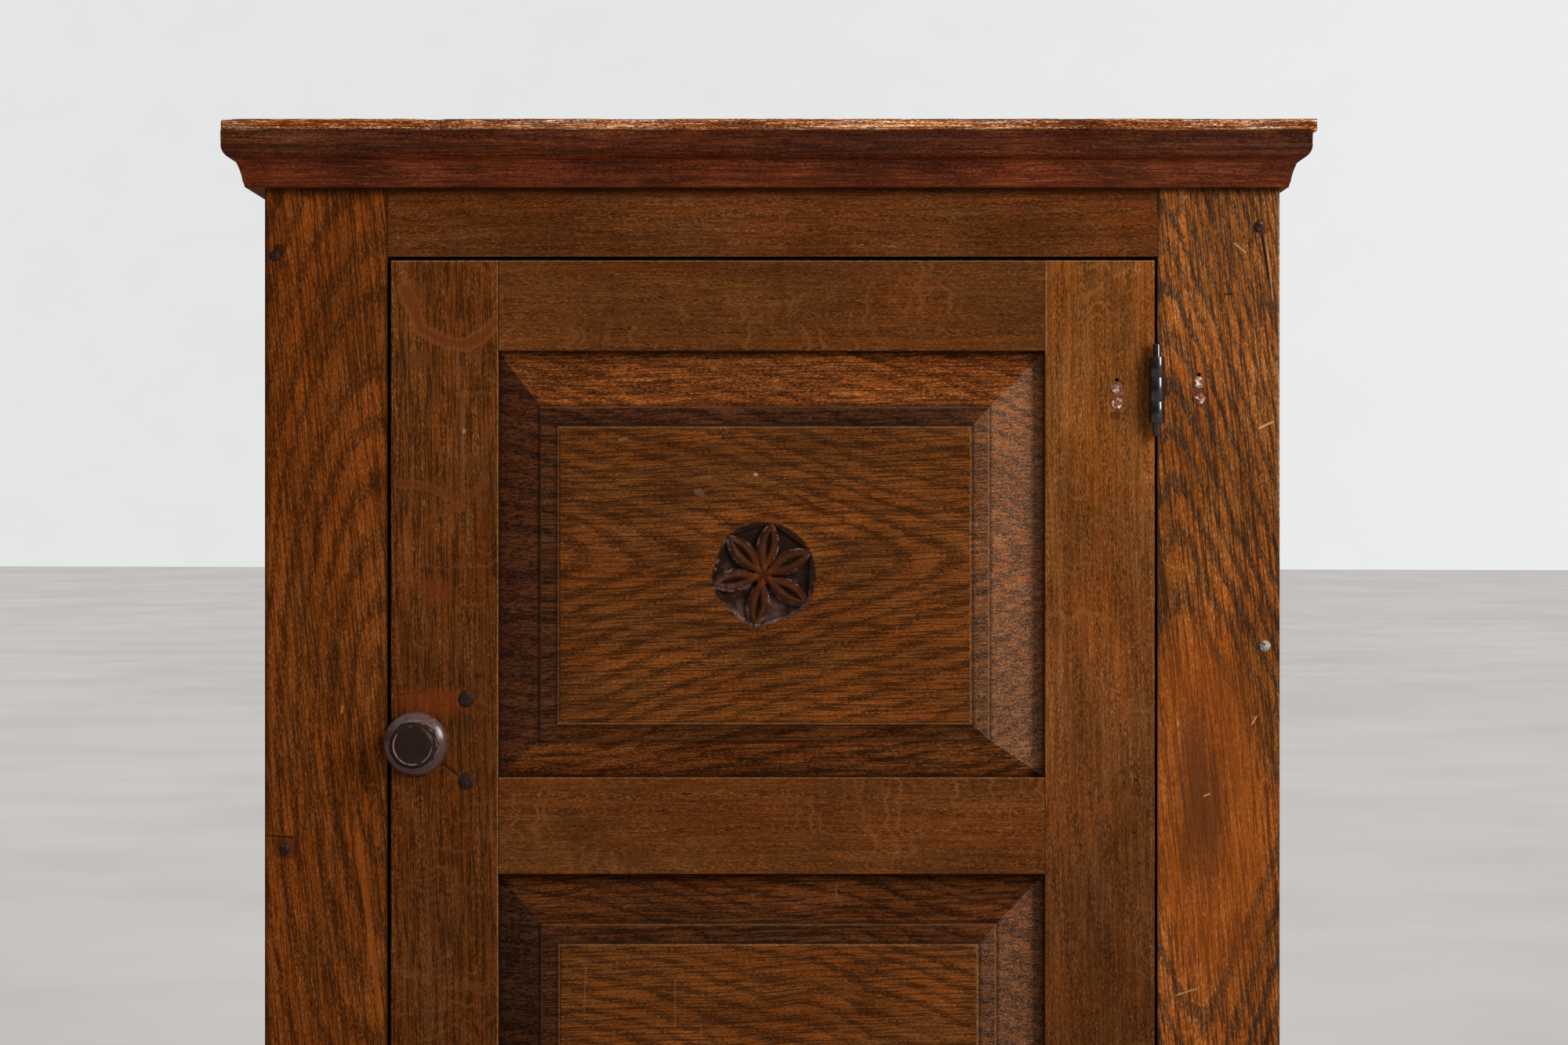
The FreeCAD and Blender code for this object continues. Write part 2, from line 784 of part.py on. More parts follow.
def hinge(key, centre_z):
    low = centre_z - hinge_barrel_length / 2
    high = low + hinge_barrel_length
    cut_low, cut_high = [low + hinge_barrel_length * s for s in hinge_knuckle_shares]
    gap = hinge_knuckle_gap / 2
    bore_start = point(hinge_x, hinge_y, low - overrun)
    bore_length = hinge_barrel_length + 2 * overrun
    bore = rod(bore_start, up, hinge_pin_radius + hinge_pin_play, bore_length)

    frame_leaf = leaf_plates(low, high, 1, 0)
    frame_leaf = frame_leaf.fuse([knuckle(low, cut_low - gap, 1), knuckle(cut_high + gap, high, 1)])
    nodes["hinge_" + key + "_frame_leaf"] = frame_leaf.cut(bore).removeSplitter()

    door_leaf = leaf_plates(low, high, -1, 0)
    door_leaf = door_leaf.fuse(knuckle(cut_low + gap, cut_high - gap, -1))
    nodes["hinge_" + key + "_door_leaf"] = door_leaf.cut(bore).removeSplitter()

    radius, soft = hinge_pin_radius, hinge_pin_tip_chamfer
    tall = hinge_barrel_length + 2 * hinge_pin_tip
    start = low - hinge_pin_tip
    pin = rod(point(hinge_x, hinge_y, start), up, radius, tall)
    nodes["hinge_" + key + "_pin"] = pin.makeChamfer(soft, [pin.Edges[0], pin.Edges[2]])

    stile = nodes["frame_stile_right"]
    nodes["frame_stile_right"] = stile.cut(leaf_plates(low, high, 1, hinge_leaf_fit))
    stile = nodes["door_stile_hinge_side"]
    nodes["door_stile_hinge_side"] = stile.cut(leaf_plates(low, high, -1, hinge_leaf_fit))


for key, centre_z in hinge_heights.items():
    hinge(key, centre_z)

hinge_nail = (hinge_nail_head_radius, hinge_nail_head_height, hinge_nail_shank_radius, hinge_nail_length)
door_places = []
frame_places = []
for centre_z in hinge_heights.values():
    for share in hinge_nail_door_shares:
        z = centre_z + hinge_barrel_length * share
        door_places.append(point(hinge_x - hinge_nail_door_distance, face_y, z))
    for share in hinge_nail_frame_shares:
        z = centre_z + hinge_barrel_length * share
        frame_places.append(point(hinge_x + hinge_nail_frame_distance, face_y, z))
door_targets = ["door_stile_hinge_side", "hinge_upper_door_leaf", "hinge_lower_door_leaf"]
frame_targets = ["frame_stile_right", "hinge_upper_frame_leaf", "hinge_lower_frame_leaf"]
drive("hinge_door_nails", door_places, inwards, hinge_nail, door_targets)
drive("hinge_frame_nails", frame_places, inwards, hinge_nail, frame_targets)

# Nails through the face frame into the front edges of the side planks
frame_nail = (frame_nail_head_radius, frame_nail_head_height, frame_nail_shank_radius, frame_nail_length)
places = [point(left_x + side_thickness * u, face_y, body_height * v) for u, v in frame_nail_left_shares]
places += [point(right_x - side_thickness * u, face_y, body_height * v) for u, v in frame_nail_right_shares]
frame_targets = ["frame_stile_left", "frame_stile_right", "side_board_left_front", "side_board_right_front"]
drive("frame_nails", places, inwards, frame_nail, frame_targets)

# Nails through the back boards into the rear rail and the bottom board
board_nail = (board_nail_head_radius, board_nail_head_height, board_nail_shank_radius, board_nail_length)
rail_z = (back_rail_low + body_height) / 2
floor_z = (bottom_board_under + bottom_board_top) / 2
places = []
for i in range(back_board_count):
    for share in (board_nail_edge_share, 1 - board_nail_edge_share):
        x = rebate_left + back_pitch * (i + share)
        places += [point(x, rear_y, rail_z), point(x, rear_y, floor_z)]
board_targets = ["back_board_" + str(i + 1) for i in range(back_board_count)]
board_targets += ["back_rail", "bottom_board"]
drive("back_nails", places, inwards * -1, board_nail, board_targets, sunk=True)

# Nails through the top boards into the side planks
places = []
for x in (left_x + side_thickness / 2, right_x - side_thickness / 2):
    for y0, y1 in ((frame_back_y, top_joint_y), (top_joint_y, rear_y)):
        for share in (board_nail_edge_share, 1 - board_nail_edge_share):
            places.append(point(x, y0 + (y1 - y0) * share, top_high))
plank_names = ["side_board_" + side + "_" + part for side in ("left", "right") for part in ("front", "rear")]
targets = ["top_board_front", "top_board_rear"] + plank_names
drive("top_nails", places, up * -1, board_nail, targets, sunk=True)

# Brads through the fascia of the side mouldings
brad = (cornice_nail_head_radius, cornice_nail_head_height, cornice_nail_shank_radius, cornice_nail_length)
brad_z = body_height - cornice_height * cornice_nail_height_share
brad_ys = [frame_back_y + (rear_y - frame_back_y) * share for share in cornice_nail_side_shares]
places = [point(cornice_left_x, y, brad_z) for y in brad_ys]
targets = ["cornice_left", "side_board_left_front", "side_board_left_rear"]
drive("cornice_nails", places, across, brad, targets, sunk=True)
places = [point(cornice_right_x, y, brad_z) for y in brad_ys]
targets = ["cornice_right", "side_board_right_front", "side_board_right_rear"]
drive("cornice_nails", places, across * -1, brad, targets, sunk=True)

# Knob, turned in one piece with a flange, a neck and a head
flange_top = knob_reach * knob_flange_share
head_start = flange_top + (knob_reach - flange_top) * knob_head_start_share
head_middle = (head_start + knob_reach) / 2
rim_radius = (knob_face_radius + knob_head_radius) / 2
face_drop = knob_groove_depth


def knob_outline():
    """Half section of the knob: radius outwards, height away from the door."""

    def at(radius, height):
        return point(radius, 0, height)

    socket = spindle_radius + nail_fit
    socket_top = knob_reach * spindle_in_knob_share
    back_radius = knob_flange_radius - flange_top * knob_back_share
    flange_edge = at(knob_flange_radius, flange_top * knob_flange_edge_share)
    shoulder_radius = (knob_flange_radius + knob_neck_radius) / 2
    inset, rise = [flange_top * share for share in knob_flange_bulge_shares]
    flange_bulge = at(knob_flange_radius - inset, rise)
    dome_radius, dome_low = knob_face_radius - face_drop, knob_reach - face_drop
    ball = (dome_radius**2 + face_drop**2) / (2 * face_drop)
    dome_middle = knob_reach - ball + math.sqrt(ball**2 - dome_radius**2 / 4)
    rim_low, rim_high = at(rim_radius, head_start), at(rim_radius, knob_reach - face_drop)
    groove_floor = at(knob_face_radius, knob_reach - 2 * face_drop)
    edges = [
        Part.makeLine(at(0, socket_top), at(socket, socket_top)),
        Part.makeLine(at(socket, socket_top), at(socket, 0)),
        Part.makeLine(at(socket, 0), at(back_radius, 0)),
        Part.makeLine(at(back_radius, 0), flange_edge),
        Part.Arc(flange_edge, flange_bulge, at(shoulder_radius, flange_top)).toShape(),
        Part.Arc(
            at(shoulder_radius, flange_top),
            at(knob_neck_radius, (flange_top + head_start) / 2),
            at(knob_neck_radius + face_drop, head_start),
        ).toShape(),
        Part.makeLine(at(knob_neck_radius + face_drop, head_start), rim_low),
        Part.Arc(rim_low, at(knob_head_radius, head_middle), rim_high).toShape(),
        Part.makeLine(rim_high, groove_floor),
        Part.makeLine(groove_floor, at(dome_radius, dome_low)),
        Part.Arc(at(dome_radius, dome_low), at(dome_radius / 2, dome_middle), at(0, knob_reach)).toShape(),
        Part.makeLine(at(0, knob_reach), at(0, socket_top)),
    ]
    return Part.Wire(edges)


knob_back_y = face_y - knob_face_gap
nodes["knob"] = turned(knob_outline(), point(knob_x, knob_back_y, knob_z), across, 90)

# Spindle, square where the tongue sits on it and spread into a button behind
spindle_front_y = knob_back_y - knob_reach * spindle_in_knob_share
square_half = spindle_square / 2
shaft = rod(point(knob_x, spindle_front_y, knob_z), inwards, spindle_radius, tongue_front_y - spindle_front_y)
square = block(
    knob_x - square_half,
    knob_x + square_half,
    tongue_front_y,
    tongue_back_y,
    knob_z - square_half,
    knob_z + square_half,
)
button = rod(point(knob_x, tongue_back_y, knob_z), inwards, spindle_button_radius, spindle_button_height)
nodes["latch_spindle"] = shaft.fuse([square, button]).removeSplitter()

# Tongue, hanging down at rest and round at both ends
round_radius = tongue_bar_width / 2
tip_z = knob_z - tongue_bar_length + round_radius
bar = block(knob_x - round_radius, knob_x + round_radius, tongue_front_y, tongue_back_y, tip_z, knob_z)
ends = []
for z in (tip_z, knob_z):
    ends.append(rod(point(knob_x, tongue_front_y, z), inwards, round_radius, tongue_bar_thickness))
nodes["latch_tongue"] = bar.fuse(ends).removeSplitter().cut(square)

# Plate behind the door, with the spindle's hole and two rivets
plate_left = door_left + latch_plate_edge_gap
plate = block(
    plate_left,
    plate_left + latch_plate_width,
    door_back_y,
    latch_plate_back_y,
    rivet_centre_z - latch_plate_height / 2,
    rivet_centre_z + latch_plate_height / 2,
)
corners = [edge for edge in plate.Edges if edge.BoundBox.YLength > latch_plate_thickness / 2]
plate = plate.makeFillet(latch_plate_corner, corners)
spindle_bore = rod(
    point(knob_x, face_y - overrun, knob_z),
    inwards,
    spindle_radius + spindle_play,
    latch_plate_back_y - face_y + 2 * overrun,
)

rivet_through = latch_plate_back_y - face_y
rivets = []
rivet_bores = []
for z in (rivet_centre_z - rivet_spacing / 2, rivet_centre_z + rivet_spacing / 2):
    start = point(rivet_x, face_y, z)
    crown = rivet_head_radius * nail_crown_share
    head = Part.makeCone(rivet_head_radius, crown, rivet_head_height, start, inwards * -1)
    shank = rod(start, inwards, rivet_shank_radius, rivet_through)
    tail = rod(point(rivet_x, latch_plate_back_y, z), inwards, rivet_tail_radius, rivet_tail_height)
    rivets.append(head.fuse([shank, tail]).removeSplitter())
    rivet_bores.append(rod(start, inwards, rivet_shank_radius + nail_fit, rivet_through))
nodes["latch_plate"] = plate.cut([spindle_bore] + rivet_bores)
nodes["latch_rivets"] = Part.makeCompound(rivets)
nodes["door_stile_knob_side"] = nodes["door_stile_knob_side"].cut([spindle_bore] + rivet_bores)

# Write one file for each named piece
os.makedirs("parts", exist_ok=True)
for name, shape in nodes.items():
    if shape.ShapeType == "Compound" and len(shape.Solids) == 1:
        shape = shape.Solids[0]
    shape.exportStep(os.path.join("parts", name + ".step"))
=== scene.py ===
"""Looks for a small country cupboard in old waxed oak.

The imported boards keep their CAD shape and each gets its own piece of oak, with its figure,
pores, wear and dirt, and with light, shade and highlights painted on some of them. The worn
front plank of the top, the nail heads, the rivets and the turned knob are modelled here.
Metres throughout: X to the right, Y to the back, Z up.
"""

import json
import logging
import math
from dataclasses import dataclass, replace
from enum import Enum
from typing import Any, Iterable, Optional, Sequence, Union

import bmesh
import bpy
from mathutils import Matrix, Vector, noise

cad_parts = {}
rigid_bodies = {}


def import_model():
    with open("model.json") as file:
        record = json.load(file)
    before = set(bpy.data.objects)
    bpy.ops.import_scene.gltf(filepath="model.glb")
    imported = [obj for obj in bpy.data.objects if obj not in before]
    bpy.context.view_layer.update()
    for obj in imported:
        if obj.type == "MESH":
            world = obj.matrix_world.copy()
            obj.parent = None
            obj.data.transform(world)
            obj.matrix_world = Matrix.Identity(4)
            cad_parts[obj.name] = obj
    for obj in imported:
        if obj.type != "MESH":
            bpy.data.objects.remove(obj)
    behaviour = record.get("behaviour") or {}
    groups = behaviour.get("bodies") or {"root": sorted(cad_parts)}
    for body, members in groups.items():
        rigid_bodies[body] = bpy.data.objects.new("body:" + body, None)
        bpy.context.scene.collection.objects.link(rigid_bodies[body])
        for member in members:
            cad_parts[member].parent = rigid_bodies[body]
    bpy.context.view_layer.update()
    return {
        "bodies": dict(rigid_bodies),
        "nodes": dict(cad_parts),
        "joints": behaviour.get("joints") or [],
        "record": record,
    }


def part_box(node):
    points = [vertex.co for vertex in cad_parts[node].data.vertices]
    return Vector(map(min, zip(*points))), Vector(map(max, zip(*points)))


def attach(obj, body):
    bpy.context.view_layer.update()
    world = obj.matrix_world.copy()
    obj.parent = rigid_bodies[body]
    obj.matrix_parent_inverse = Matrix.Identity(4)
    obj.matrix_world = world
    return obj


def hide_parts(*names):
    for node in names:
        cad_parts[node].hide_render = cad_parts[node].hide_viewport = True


LOG = logging.getLogger("cupboard")
MM = 0.001
# Y of the face that the frame and the door share.
FACE = -0.1918
# How far a seam of wear or dirt takes to run out at its end.
SEAM_END = 4.0 * MM
# Least angles in degrees that count as a fold of a flat face, and as an arris.
FLAT_ANGLE = 1.0
ARRIS_ANGLE = 32.0
# A point of a nails' node belongs to a head if it stands so far out of the wood, and to the
# same head as another point that is no farther off than this.
HEAD_RISE = 0.3 * MM
HEAD_SPAN = 12.0 * MM

Triple = tuple[float, float, float]


# ---------------------------------------------------------------- shader expressions


def tone(red: float, green: float, blue: float) -> tuple[float, float, float, float]:
    """Turn a colour as it is seen, 0 to 255, into the linear colour a shader takes.

    Args:
        red: seen red, 0 to 255.
        green: seen green, 0 to 255.
        blue: seen blue, 0 to 255.

    Returns:
        Linear red, green, blue and an alpha of one.
    """
    linear = []
    for value in (red, green, blue):
        share = max(value, 0.0) / 255.0
        linear.append(share / 12.92 if share <= 0.04045 else ((share + 0.055) / 1.055) ** 2.4)
    return (linear[0], linear[1], linear[2], 1.0)


class Signal:
    """A node socket that takes part in Python expressions, each of which adds Math nodes."""

    def __init__(self, paint: "Paint", socket: bpy.types.NodeSocket) -> None:
        """Wrap a socket.

        Args:
            paint: the material under way.
            socket: the output socket that carries the value.
        """
        self.paint = paint
        self.socket = socket

    def math(self, operation: str, *values: "Value") -> "Signal":
        """Add one Math node with this value first.

        Args:
            operation: the Math node's operation.
            values: the node's further values.

        Returns:
            The result.
        """
        inputs = {index: value for index, value in enumerate((self, *values))}
        return self.paint.node("ShaderNodeMath", {"operation": operation}, inputs)

    def __add__(self, other: "Value") -> "Signal":
        """Add."""
        return self.math("ADD", other)

    __radd__ = __add__

    def __mul__(self, other: "Value") -> "Signal":
        """Multiply."""
        return self.math("MULTIPLY", other)

    __rmul__ = __mul__

    def __sub__(self, other: "Value") -> "Signal":
        """Subtract the other value."""
        return self.math("SUBTRACT", other)

    def __rsub__(self, other: float) -> "Signal":
        """Subtract this from a number."""
        return self.paint.number(other).math("SUBTRACT", self)

    def __truediv__(self, other: "Value") -> "Signal":
        """Divide."""
        return self.math("DIVIDE", other)

    def __abs__(self) -> "Signal":
        """Take the size without the sign."""
        return self.math("ABSOLUTE")

    def top(self, other: "Value") -> "Signal":
        """Take the larger of two values."""
        return self.math("MAXIMUM", other)

    def low(self, other: "Value") -> "Signal":
        """Take the smaller of two values."""
        return self.math("MINIMUM", other)

    def root(self) -> "Signal":
        """Take the square root."""
        return self.math("SQRT")

    def fract(self) -> "Signal":
        """Take what follows the decimal point."""
        return self.math("FRACT")

    def floor(self) -> "Signal":
        """Round down."""
        return self.math("FLOOR")

    def step(self, start: float, end: float) -> "Signal":
        """Go smoothly from 0 at start to 1 at end; start may be the larger one.

        Args:
            start: the value that gives 0.
            end: the value that gives 1.

        Returns:
            A mask from 0 to 1.
        """
        low, high = (start, end) if start < end else (end, start)
        ends = (0.0, 1.0) if start < end else (1.0, 0.0)
        return self.paint.node(
            "ShaderNodeMapRange",
            {"interpolation_type": "SMOOTHSTEP"},
            {"Value": self, "From Min": low, "From Max": high, "To Min": ends[0], "To Max": ends[1]},
        )


Value = Union[float, Signal]


class Paint:
    """One procedural material or world, built from expressions on its signals."""

    def __init__(self, name: str, world: bool = False) -> None:
        """Start with an empty node tree.

        Args:
            name: the material's or world's name.
            world: whether it is a world.
        """
        self.block = bpy.data.worlds.new(name) if world else bpy.data.materials.new(name)
        self.block.use_nodes = True
        self.tree = self.block.node_tree
        self.tree.nodes.clear()
        self.output = "ShaderNodeOutputWorld" if world else "ShaderNodeOutputMaterial"
        self.place = self.node("ShaderNodeTexCoord", {}, {}, "Generated" if world else "Object")

    def node(self, kind: str, settings: dict[str, Any], inputs: dict[Any, Any], output: Any = 0) -> Signal:
        """Add any node.

        Args:
            kind: the node's type.
            settings: properties set first; "stops" sets a ramp's positions and colours.
            inputs: sockets by name or number, each with a value or a signal.
            output: the output socket's name or number.

        Returns:
            The chosen output.
        """
        node = self.tree.nodes.new(kind)
        for key, value in settings.items():
            if key == "stops":
                ramp = node.color_ramp
                while len(ramp.elements) < len(value):
                    ramp.elements.new(0.5)
                for element, (position, colour) in zip(ramp.elements, value):
                    element.position = position
                    element.color = colour
            else:
                setattr(node, key, value)
        for key, value in inputs.items():
            if isinstance(value, Signal):
                self.tree.links.new(value.socket, node.inputs[key])
            else:
                node.inputs[key].default_value = value
        return Signal(self, node.outputs[output])

    def number(self, value: float) -> Signal:
        """Give a plain number as a signal."""
        return self.node("ShaderNodeMath", {"operation": "ADD"}, {0: value, 1: 0.0})

    def axes(self) -> tuple[Signal, Signal, Signal]:
        """Split the object's own coordinates into X, Y and Z."""
        node = self.node("ShaderNodeSeparateXYZ", {}, {0: self.place}).socket.node
        return (Signal(self, node.outputs[0]), Signal(self, node.outputs[1]), Signal(self, node.outputs[2]))

    def vector(self, x: Value, y: Value, z: Value) -> Signal:
        """Join three values into a vector."""
        return self.node("ShaderNodeCombineXYZ", {}, {0: x, 1: y, 2: z})

    def scaled(self, vector: Signal, by: Triple, offset: Triple) -> Signal:
        """Multiply a vector by three numbers and add three more."""
        return self.node("ShaderNodeVectorMath", {"operation": "MULTIPLY_ADD"}, {0: vector, 1: by, 2: offset})

    def noise(self, vector: Signal, scale: float = 1.0, detail: float = 2.0, rough: float = 0.5) -> Signal:
        """Read fractal noise, about 0.5 on average.

        Args:
            vector: where it is read.
            scale: cells per unit.
            detail: octaves.
            rough: how strong the finer octaves are.

        Returns:
            The noise.
        """
        inputs = {"Vector": vector, "Scale": scale, "Detail": detail, "Roughness": rough}
        return self.node("ShaderNodeTexNoise", {}, inputs)

    def weave(
        self, vector: Signal, by: Triple, offset: Triple = (0.0, 0.0, 0.0), detail: float = 2.0, rough: float = 0.5
    ) -> Signal:
        """Read noise that is drawn out by its own number of cells on each axis.

        Args:
            vector: where it is read.
            by: cells per unit on each axis.
            offset: what is added after, which makes one board differ from the next.
            detail: octaves.
            rough: how strong the finer octaves are.

        Returns:
            The noise.
        """
        return self.noise(self.scaled(vector, by, offset), 1.0, detail, rough)

    def cells(self, vector: Signal, scale: float) -> Signal:
        """Read the distance to scattered points, so many to the unit."""
        return self.node("ShaderNodeTexVoronoi", {}, {"Vector": vector, "Scale": scale})

    def blend(self, first: Any, second: Any, amount: Value, mode: str = "MIX") -> Signal:
        """Mix two colours.

        Args:
            first: colour at an amount of 0.
            second: colour at an amount of 1.
            amount: the share of the second.
            mode: how they combine.

        Returns:
            The mixed colour.
        """
        settings = {"data_type": "RGBA", "blend_type": mode, "clamp_factor": True}
        return self.node("ShaderNodeMix", settings, {0: amount, 6: first, 7: second}, 2)

    def close(
        self,
        colour: Signal,
        rough: Value,
        height: Optional[Signal],
        metallic: Value = 0.0,
        specular: float = 0.5,
        coat: Value = 0.0,
        coat_rough: float = 0.3,
    ) -> bpy.types.Material:
        """Join the surface to the output.

        Args:
            colour: base colour.
            rough: roughness.
            height: relief in millimetres, or none.
            metallic: metallic share.
            specular: constant specular level.
            coat: weight of the wax or varnish over it.
            coat_rough: that coat's constant roughness.

        Returns:
            The finished material.
        """
        inputs: dict[Any, Any] = {
            "Base Color": colour,
            "Roughness": rough,
            "Metallic": metallic,
            "Specular IOR Level": specular,
            "Coat Weight": coat,
            "Coat Roughness": coat_rough,
        }
        if height is not None:
            bump = self.node("ShaderNodeBump", {}, {"Height": height, "Distance": MM, "Strength": 1.0})
            inputs["Normal"] = bump
        shader = self.node("ShaderNodeBsdfPrincipled", {}, inputs)
        return self.finish(shader)

    def finish(self, shader: Signal) -> Any:
        """Send a shader to the output and give the finished material or world."""
        out = self.tree.nodes.new(self.output)
        self.tree.links.new(shader.socket, out.inputs["Surface"])
        return self.block


# ---------------------------------------------------------------- what a board of oak is


class Lie(Enum):
    """How a board lies: the object axes that run along it, across it and through it."""

    UPRIGHT_FRONT = (2, 0, 1)
    LEVEL_FRONT = (0, 2, 1)
    UPRIGHT_SIDE = (2, 1, 0)
    LEVEL_TOP = (0, 1, 2)
    DEEP_SIDE = (1, 2, 0)


@dataclass(frozen=True)
class Grain:
    """Places and noises that one board's wood is made of.

    Attributes:
        along: place along the board.
        across: place across it.
        deep: place through it.
        place: those three as one vector.
        wander: slow drift of the rings.
        ripple: short waver of the rings.
        streak: broad fibres.
        dash: short fibres.
        fine: single pores.
        thread: the thinnest long lines.
        tooth: what makes the rings' edges ragged.
        cloud: clouds of light and dark.
        patch: where the pores are strong or weak.
        edge: what breaks up outlines.
        soot: clouds of dirt.
    """

    along: Signal
    across: Signal
    deep: Signal
    place: Signal
    wander: Signal
    ripple: Signal
    streak: Signal
    dash: Signal
    fine: Signal
    thread: Signal
    tooth: Signal
    cloud: Signal
    patch: Signal
    edge: Signal
    soot: Signal


@dataclass
class Look:
    """A board's surface while it is put together.

    Attributes:
        paint: the material under way.
        axes: the object's X, Y and Z.
        colour: base colour.
        height: relief in millimetres.
        rough: roughness.
        wax: weight of the wax.
        half: mask of the board's front half, so that nothing on its face shows through behind.
    """

    paint: Paint
    axes: tuple[Signal, Signal, Signal]
    colour: Signal
    height: Signal
    rough: Signal
    wax: Value
    half: Signal

    def stain(self, colour: Triple, amount: Value) -> None:
        """Lay a seen colour over the board."""
        self.colour = self.paint.blend(self.colour, tone(*colour), amount)

    def filter(self, factor: Triple, amount: Value) -> None:
        """Multiply the board's colour by three factors."""
        self.colour = self.paint.blend(self.colour, (*factor, 1.0), amount, "MULTIPLY")

    def raise_by(self, relief: Value) -> None:
        """Add relief in millimetres."""
        self.height = self.height + relief


@dataclass(frozen=True)
class Figure:
    """Growth rings, which show on the face as nested ovals or arches round one middle line.

    Attributes:
        along: the middle's place along the board.
        across: the middle's place across the board.
        stretch: how many times longer than wide an oval is.
        gap: width of one ring across the board.
        sweep: sideways drift of the middle line for each metre above the middle.
        wave: how far the rings wander from true ovals.
        reach: length of that wander along the grain.
        feather: how ragged a ring's edge is, in rings.
        soft: share of a ring over which the dark early wood fades.
        dip: how fast the rings shift going into the board.
        slope: for arches, how far they open sideways for each metre along; 0 for ovals.
        tip: for arches, how round their tips are.
        blunt: makes arches close at both ends, and is how blunt they are there; 0 for one end.
        crowd: power by which the rings crowd together outward; 1 for an even spacing.
        calm: how far out from the middle the wood shows no bands.
        uneven: how much the rings differ in width, in rings.
        ripple: how far the rings waver over a short way.
    """

    along: float
    across: float
    stretch: float = 8.0
    gap: float = 0.014
    sweep: float = 0.0
    wave: float = 0.012
    reach: float = 0.30
    feather: float = 0.7
    soft: float = 0.30
    dip: float = 0.9
    slope: float = 0.0
    tip: float = 0.012
    blunt: float = 0.0
    crowd: float = 1.0
    calm: float = 0.0
    uneven: float = 1.2
    ripple: float = 7.0 * MM

    def pores(self, paint: Paint, grain: Grain, seed: float) -> Signal:
        """Find the coarse early wood of the rings.

        Args:
            paint: the material under way.
            grain: the board's noises.
            seed: offset of the noises.

        Returns:
            A mask from 0 to 1.
        """
        rise = grain.along - self.along
        side = grain.across - self.across - rise * self.sweep
        side = side + (grain.wander - 0.5) * (2.0 * self.wave) + (grain.ripple - 0.5) * self.ripple
        if self.slope:
            ends = rise * self.slope + 1.0
            if self.blunt:
                ends = (rise * rise + self.blunt * self.blunt).math("POWER", 0.375) * self.slope
            oval = (side * side + self.tip * self.tip).root() + ends
        else:
            oval = (side * side + (rise / self.stretch) * (rise / self.stretch)).root()
        if self.crowd == 1.0:
            rings = (oval + grain.deep * self.dip) / self.gap
        else:
            rings = ((oval + (grain.deep - FACE) * self.dip) / self.gap).math("POWER", self.crowd)
        uneven = paint.noise(paint.vector(rings * 0.43, seed, 0.5), 1.0, 1.0)
        rings = rings + uneven * self.uneven + (grain.tooth - 0.5) * self.feather + (grain.thread - 0.5) * 0.15
        part = rings.fract()
        early = part.step(0.0, 0.10) * part.step(0.26 + self.soft, 0.30)
        if self.calm:
            early = early * (oval + (grain.tooth - 0.5) * 0.01).step(0.97 * self.calm, 1.03 * self.calm)
        strength = paint.node("ShaderNodeTexWhiteNoise", {"noise_dimensions": "1D"}, {"W": rings.floor() + seed})
        return early * (0.66 + 0.34 * strength) * (grain.patch.step(0.25, 0.55) * 0.4 + 0.6)


@dataclass(frozen=True)
class Tones:
    """The colours of a board, as seen from 0 to 255, from its deepest to its brightest fibres,
    with its coarse early wood, its worn arrises, which on a raised panel's steps are partly a
    painted highlight, and its old dirt, which also paints shade in corners and painted shadows."""

    deep: Triple
    dark: Triple
    middle: Triple
    light: Triple
    bright: Triple
    coarse: Triple
    worn: Triple = (150, 110, 72)
    dirt: Triple = (34, 18, 9)

    def stops(self) -> list[tuple[float, tuple[float, float, float, float]]]:
        """Spread the five colours, and one more beyond each end, over a ramp.

        Returns:
            Positions and linear colours.
        """
        below = (0.70 * self.deep[0], 0.66 * self.deep[1], 0.60 * self.deep[2])
        # The colour beyond the bright end, paler and greyer, paints glints on the fibres.
        above = (1.20 * self.bright[0], 1.28 * self.bright[1], 1.40 * self.bright[2])
        colours = (below, self.deep, self.dark, self.middle, self.light, self.bright, above)
        return [(place, tone(*colour)) for place, colour in zip((0.02, 0.20, 0.37, 0.50, 0.63, 0.82, 1.0), colours)]


@dataclass(frozen=True)
class Seam:
    """A straight line of wear or dirt on a front.

    Attributes:
        axis: 0 for a line at a fixed X, 1 at a fixed Y, 2 at a fixed Z.
        at: where the line is.
        width: how far it spreads on each side.
        start: where the line starts on the other axis of the front, if it doesn't run through.
        end: where it ends.
    """

    axis: int
    at: float
    width: float
    start: Optional[float] = None
    end: Optional[float] = None


@dataclass(frozen=True)
class Mark:
    """A stain, knot, scratch, dent or rubbed place on a front.

    Attributes:
        x: its middle.
        z: its middle.
        half_x: half its length along its own axis, in millimetres.
        half_z: half its width, in millimetres.
        turn: degrees that its own axis is turned up from X.
        colour: the colour that it takes.
        amount: how much of that colour.
        ragged: how irregular its outline is.
        relief: its height in millimetres, negative for a dent.
        soft: how softly it fades out; a hard mark is a blunt oval, a soft one a true oval.
        gloss: what it adds to the roughness.
    """

    x: float
    z: float
    half_x: float
    half_z: float
    turn: float
    colour: Triple
    amount: float
    ragged: float
    relief: float = 0.0
    soft: float = 0.2
    gloss: float = 0.0

    def dress(self, look: Look, edge: Signal) -> None:
        """Lay the mark over a board.

        Args:
            look: the board's surface.
            edge: noise that makes the outline irregular.
        """
        angle = math.radians(self.turn)
        dx, dz = look.axes[0] - self.x, look.axes[2] - self.z
        run = dx * math.cos(angle) + dz * math.sin(angle)
        rise = dz * math.cos(angle) - dx * math.sin(angle)
        long, wide = run / (self.half_x * MM), rise / (self.half_z * MM)
        long, wide = long * long, wide * wide
        far = (long + wide).root() if self.soft > 0.2 else (long * long + wide * wide).root().root()
        mask = (far + (edge - 0.5) * (2.6 * self.ragged)).step(0.95 + self.soft, 0.95 - self.soft) * look.half
        look.stain(self.colour, mask * self.amount)
        if self.relief:
            look.raise_by(mask * self.relief)
        if self.gloss:
            look.rough = look.rough + mask * self.gloss


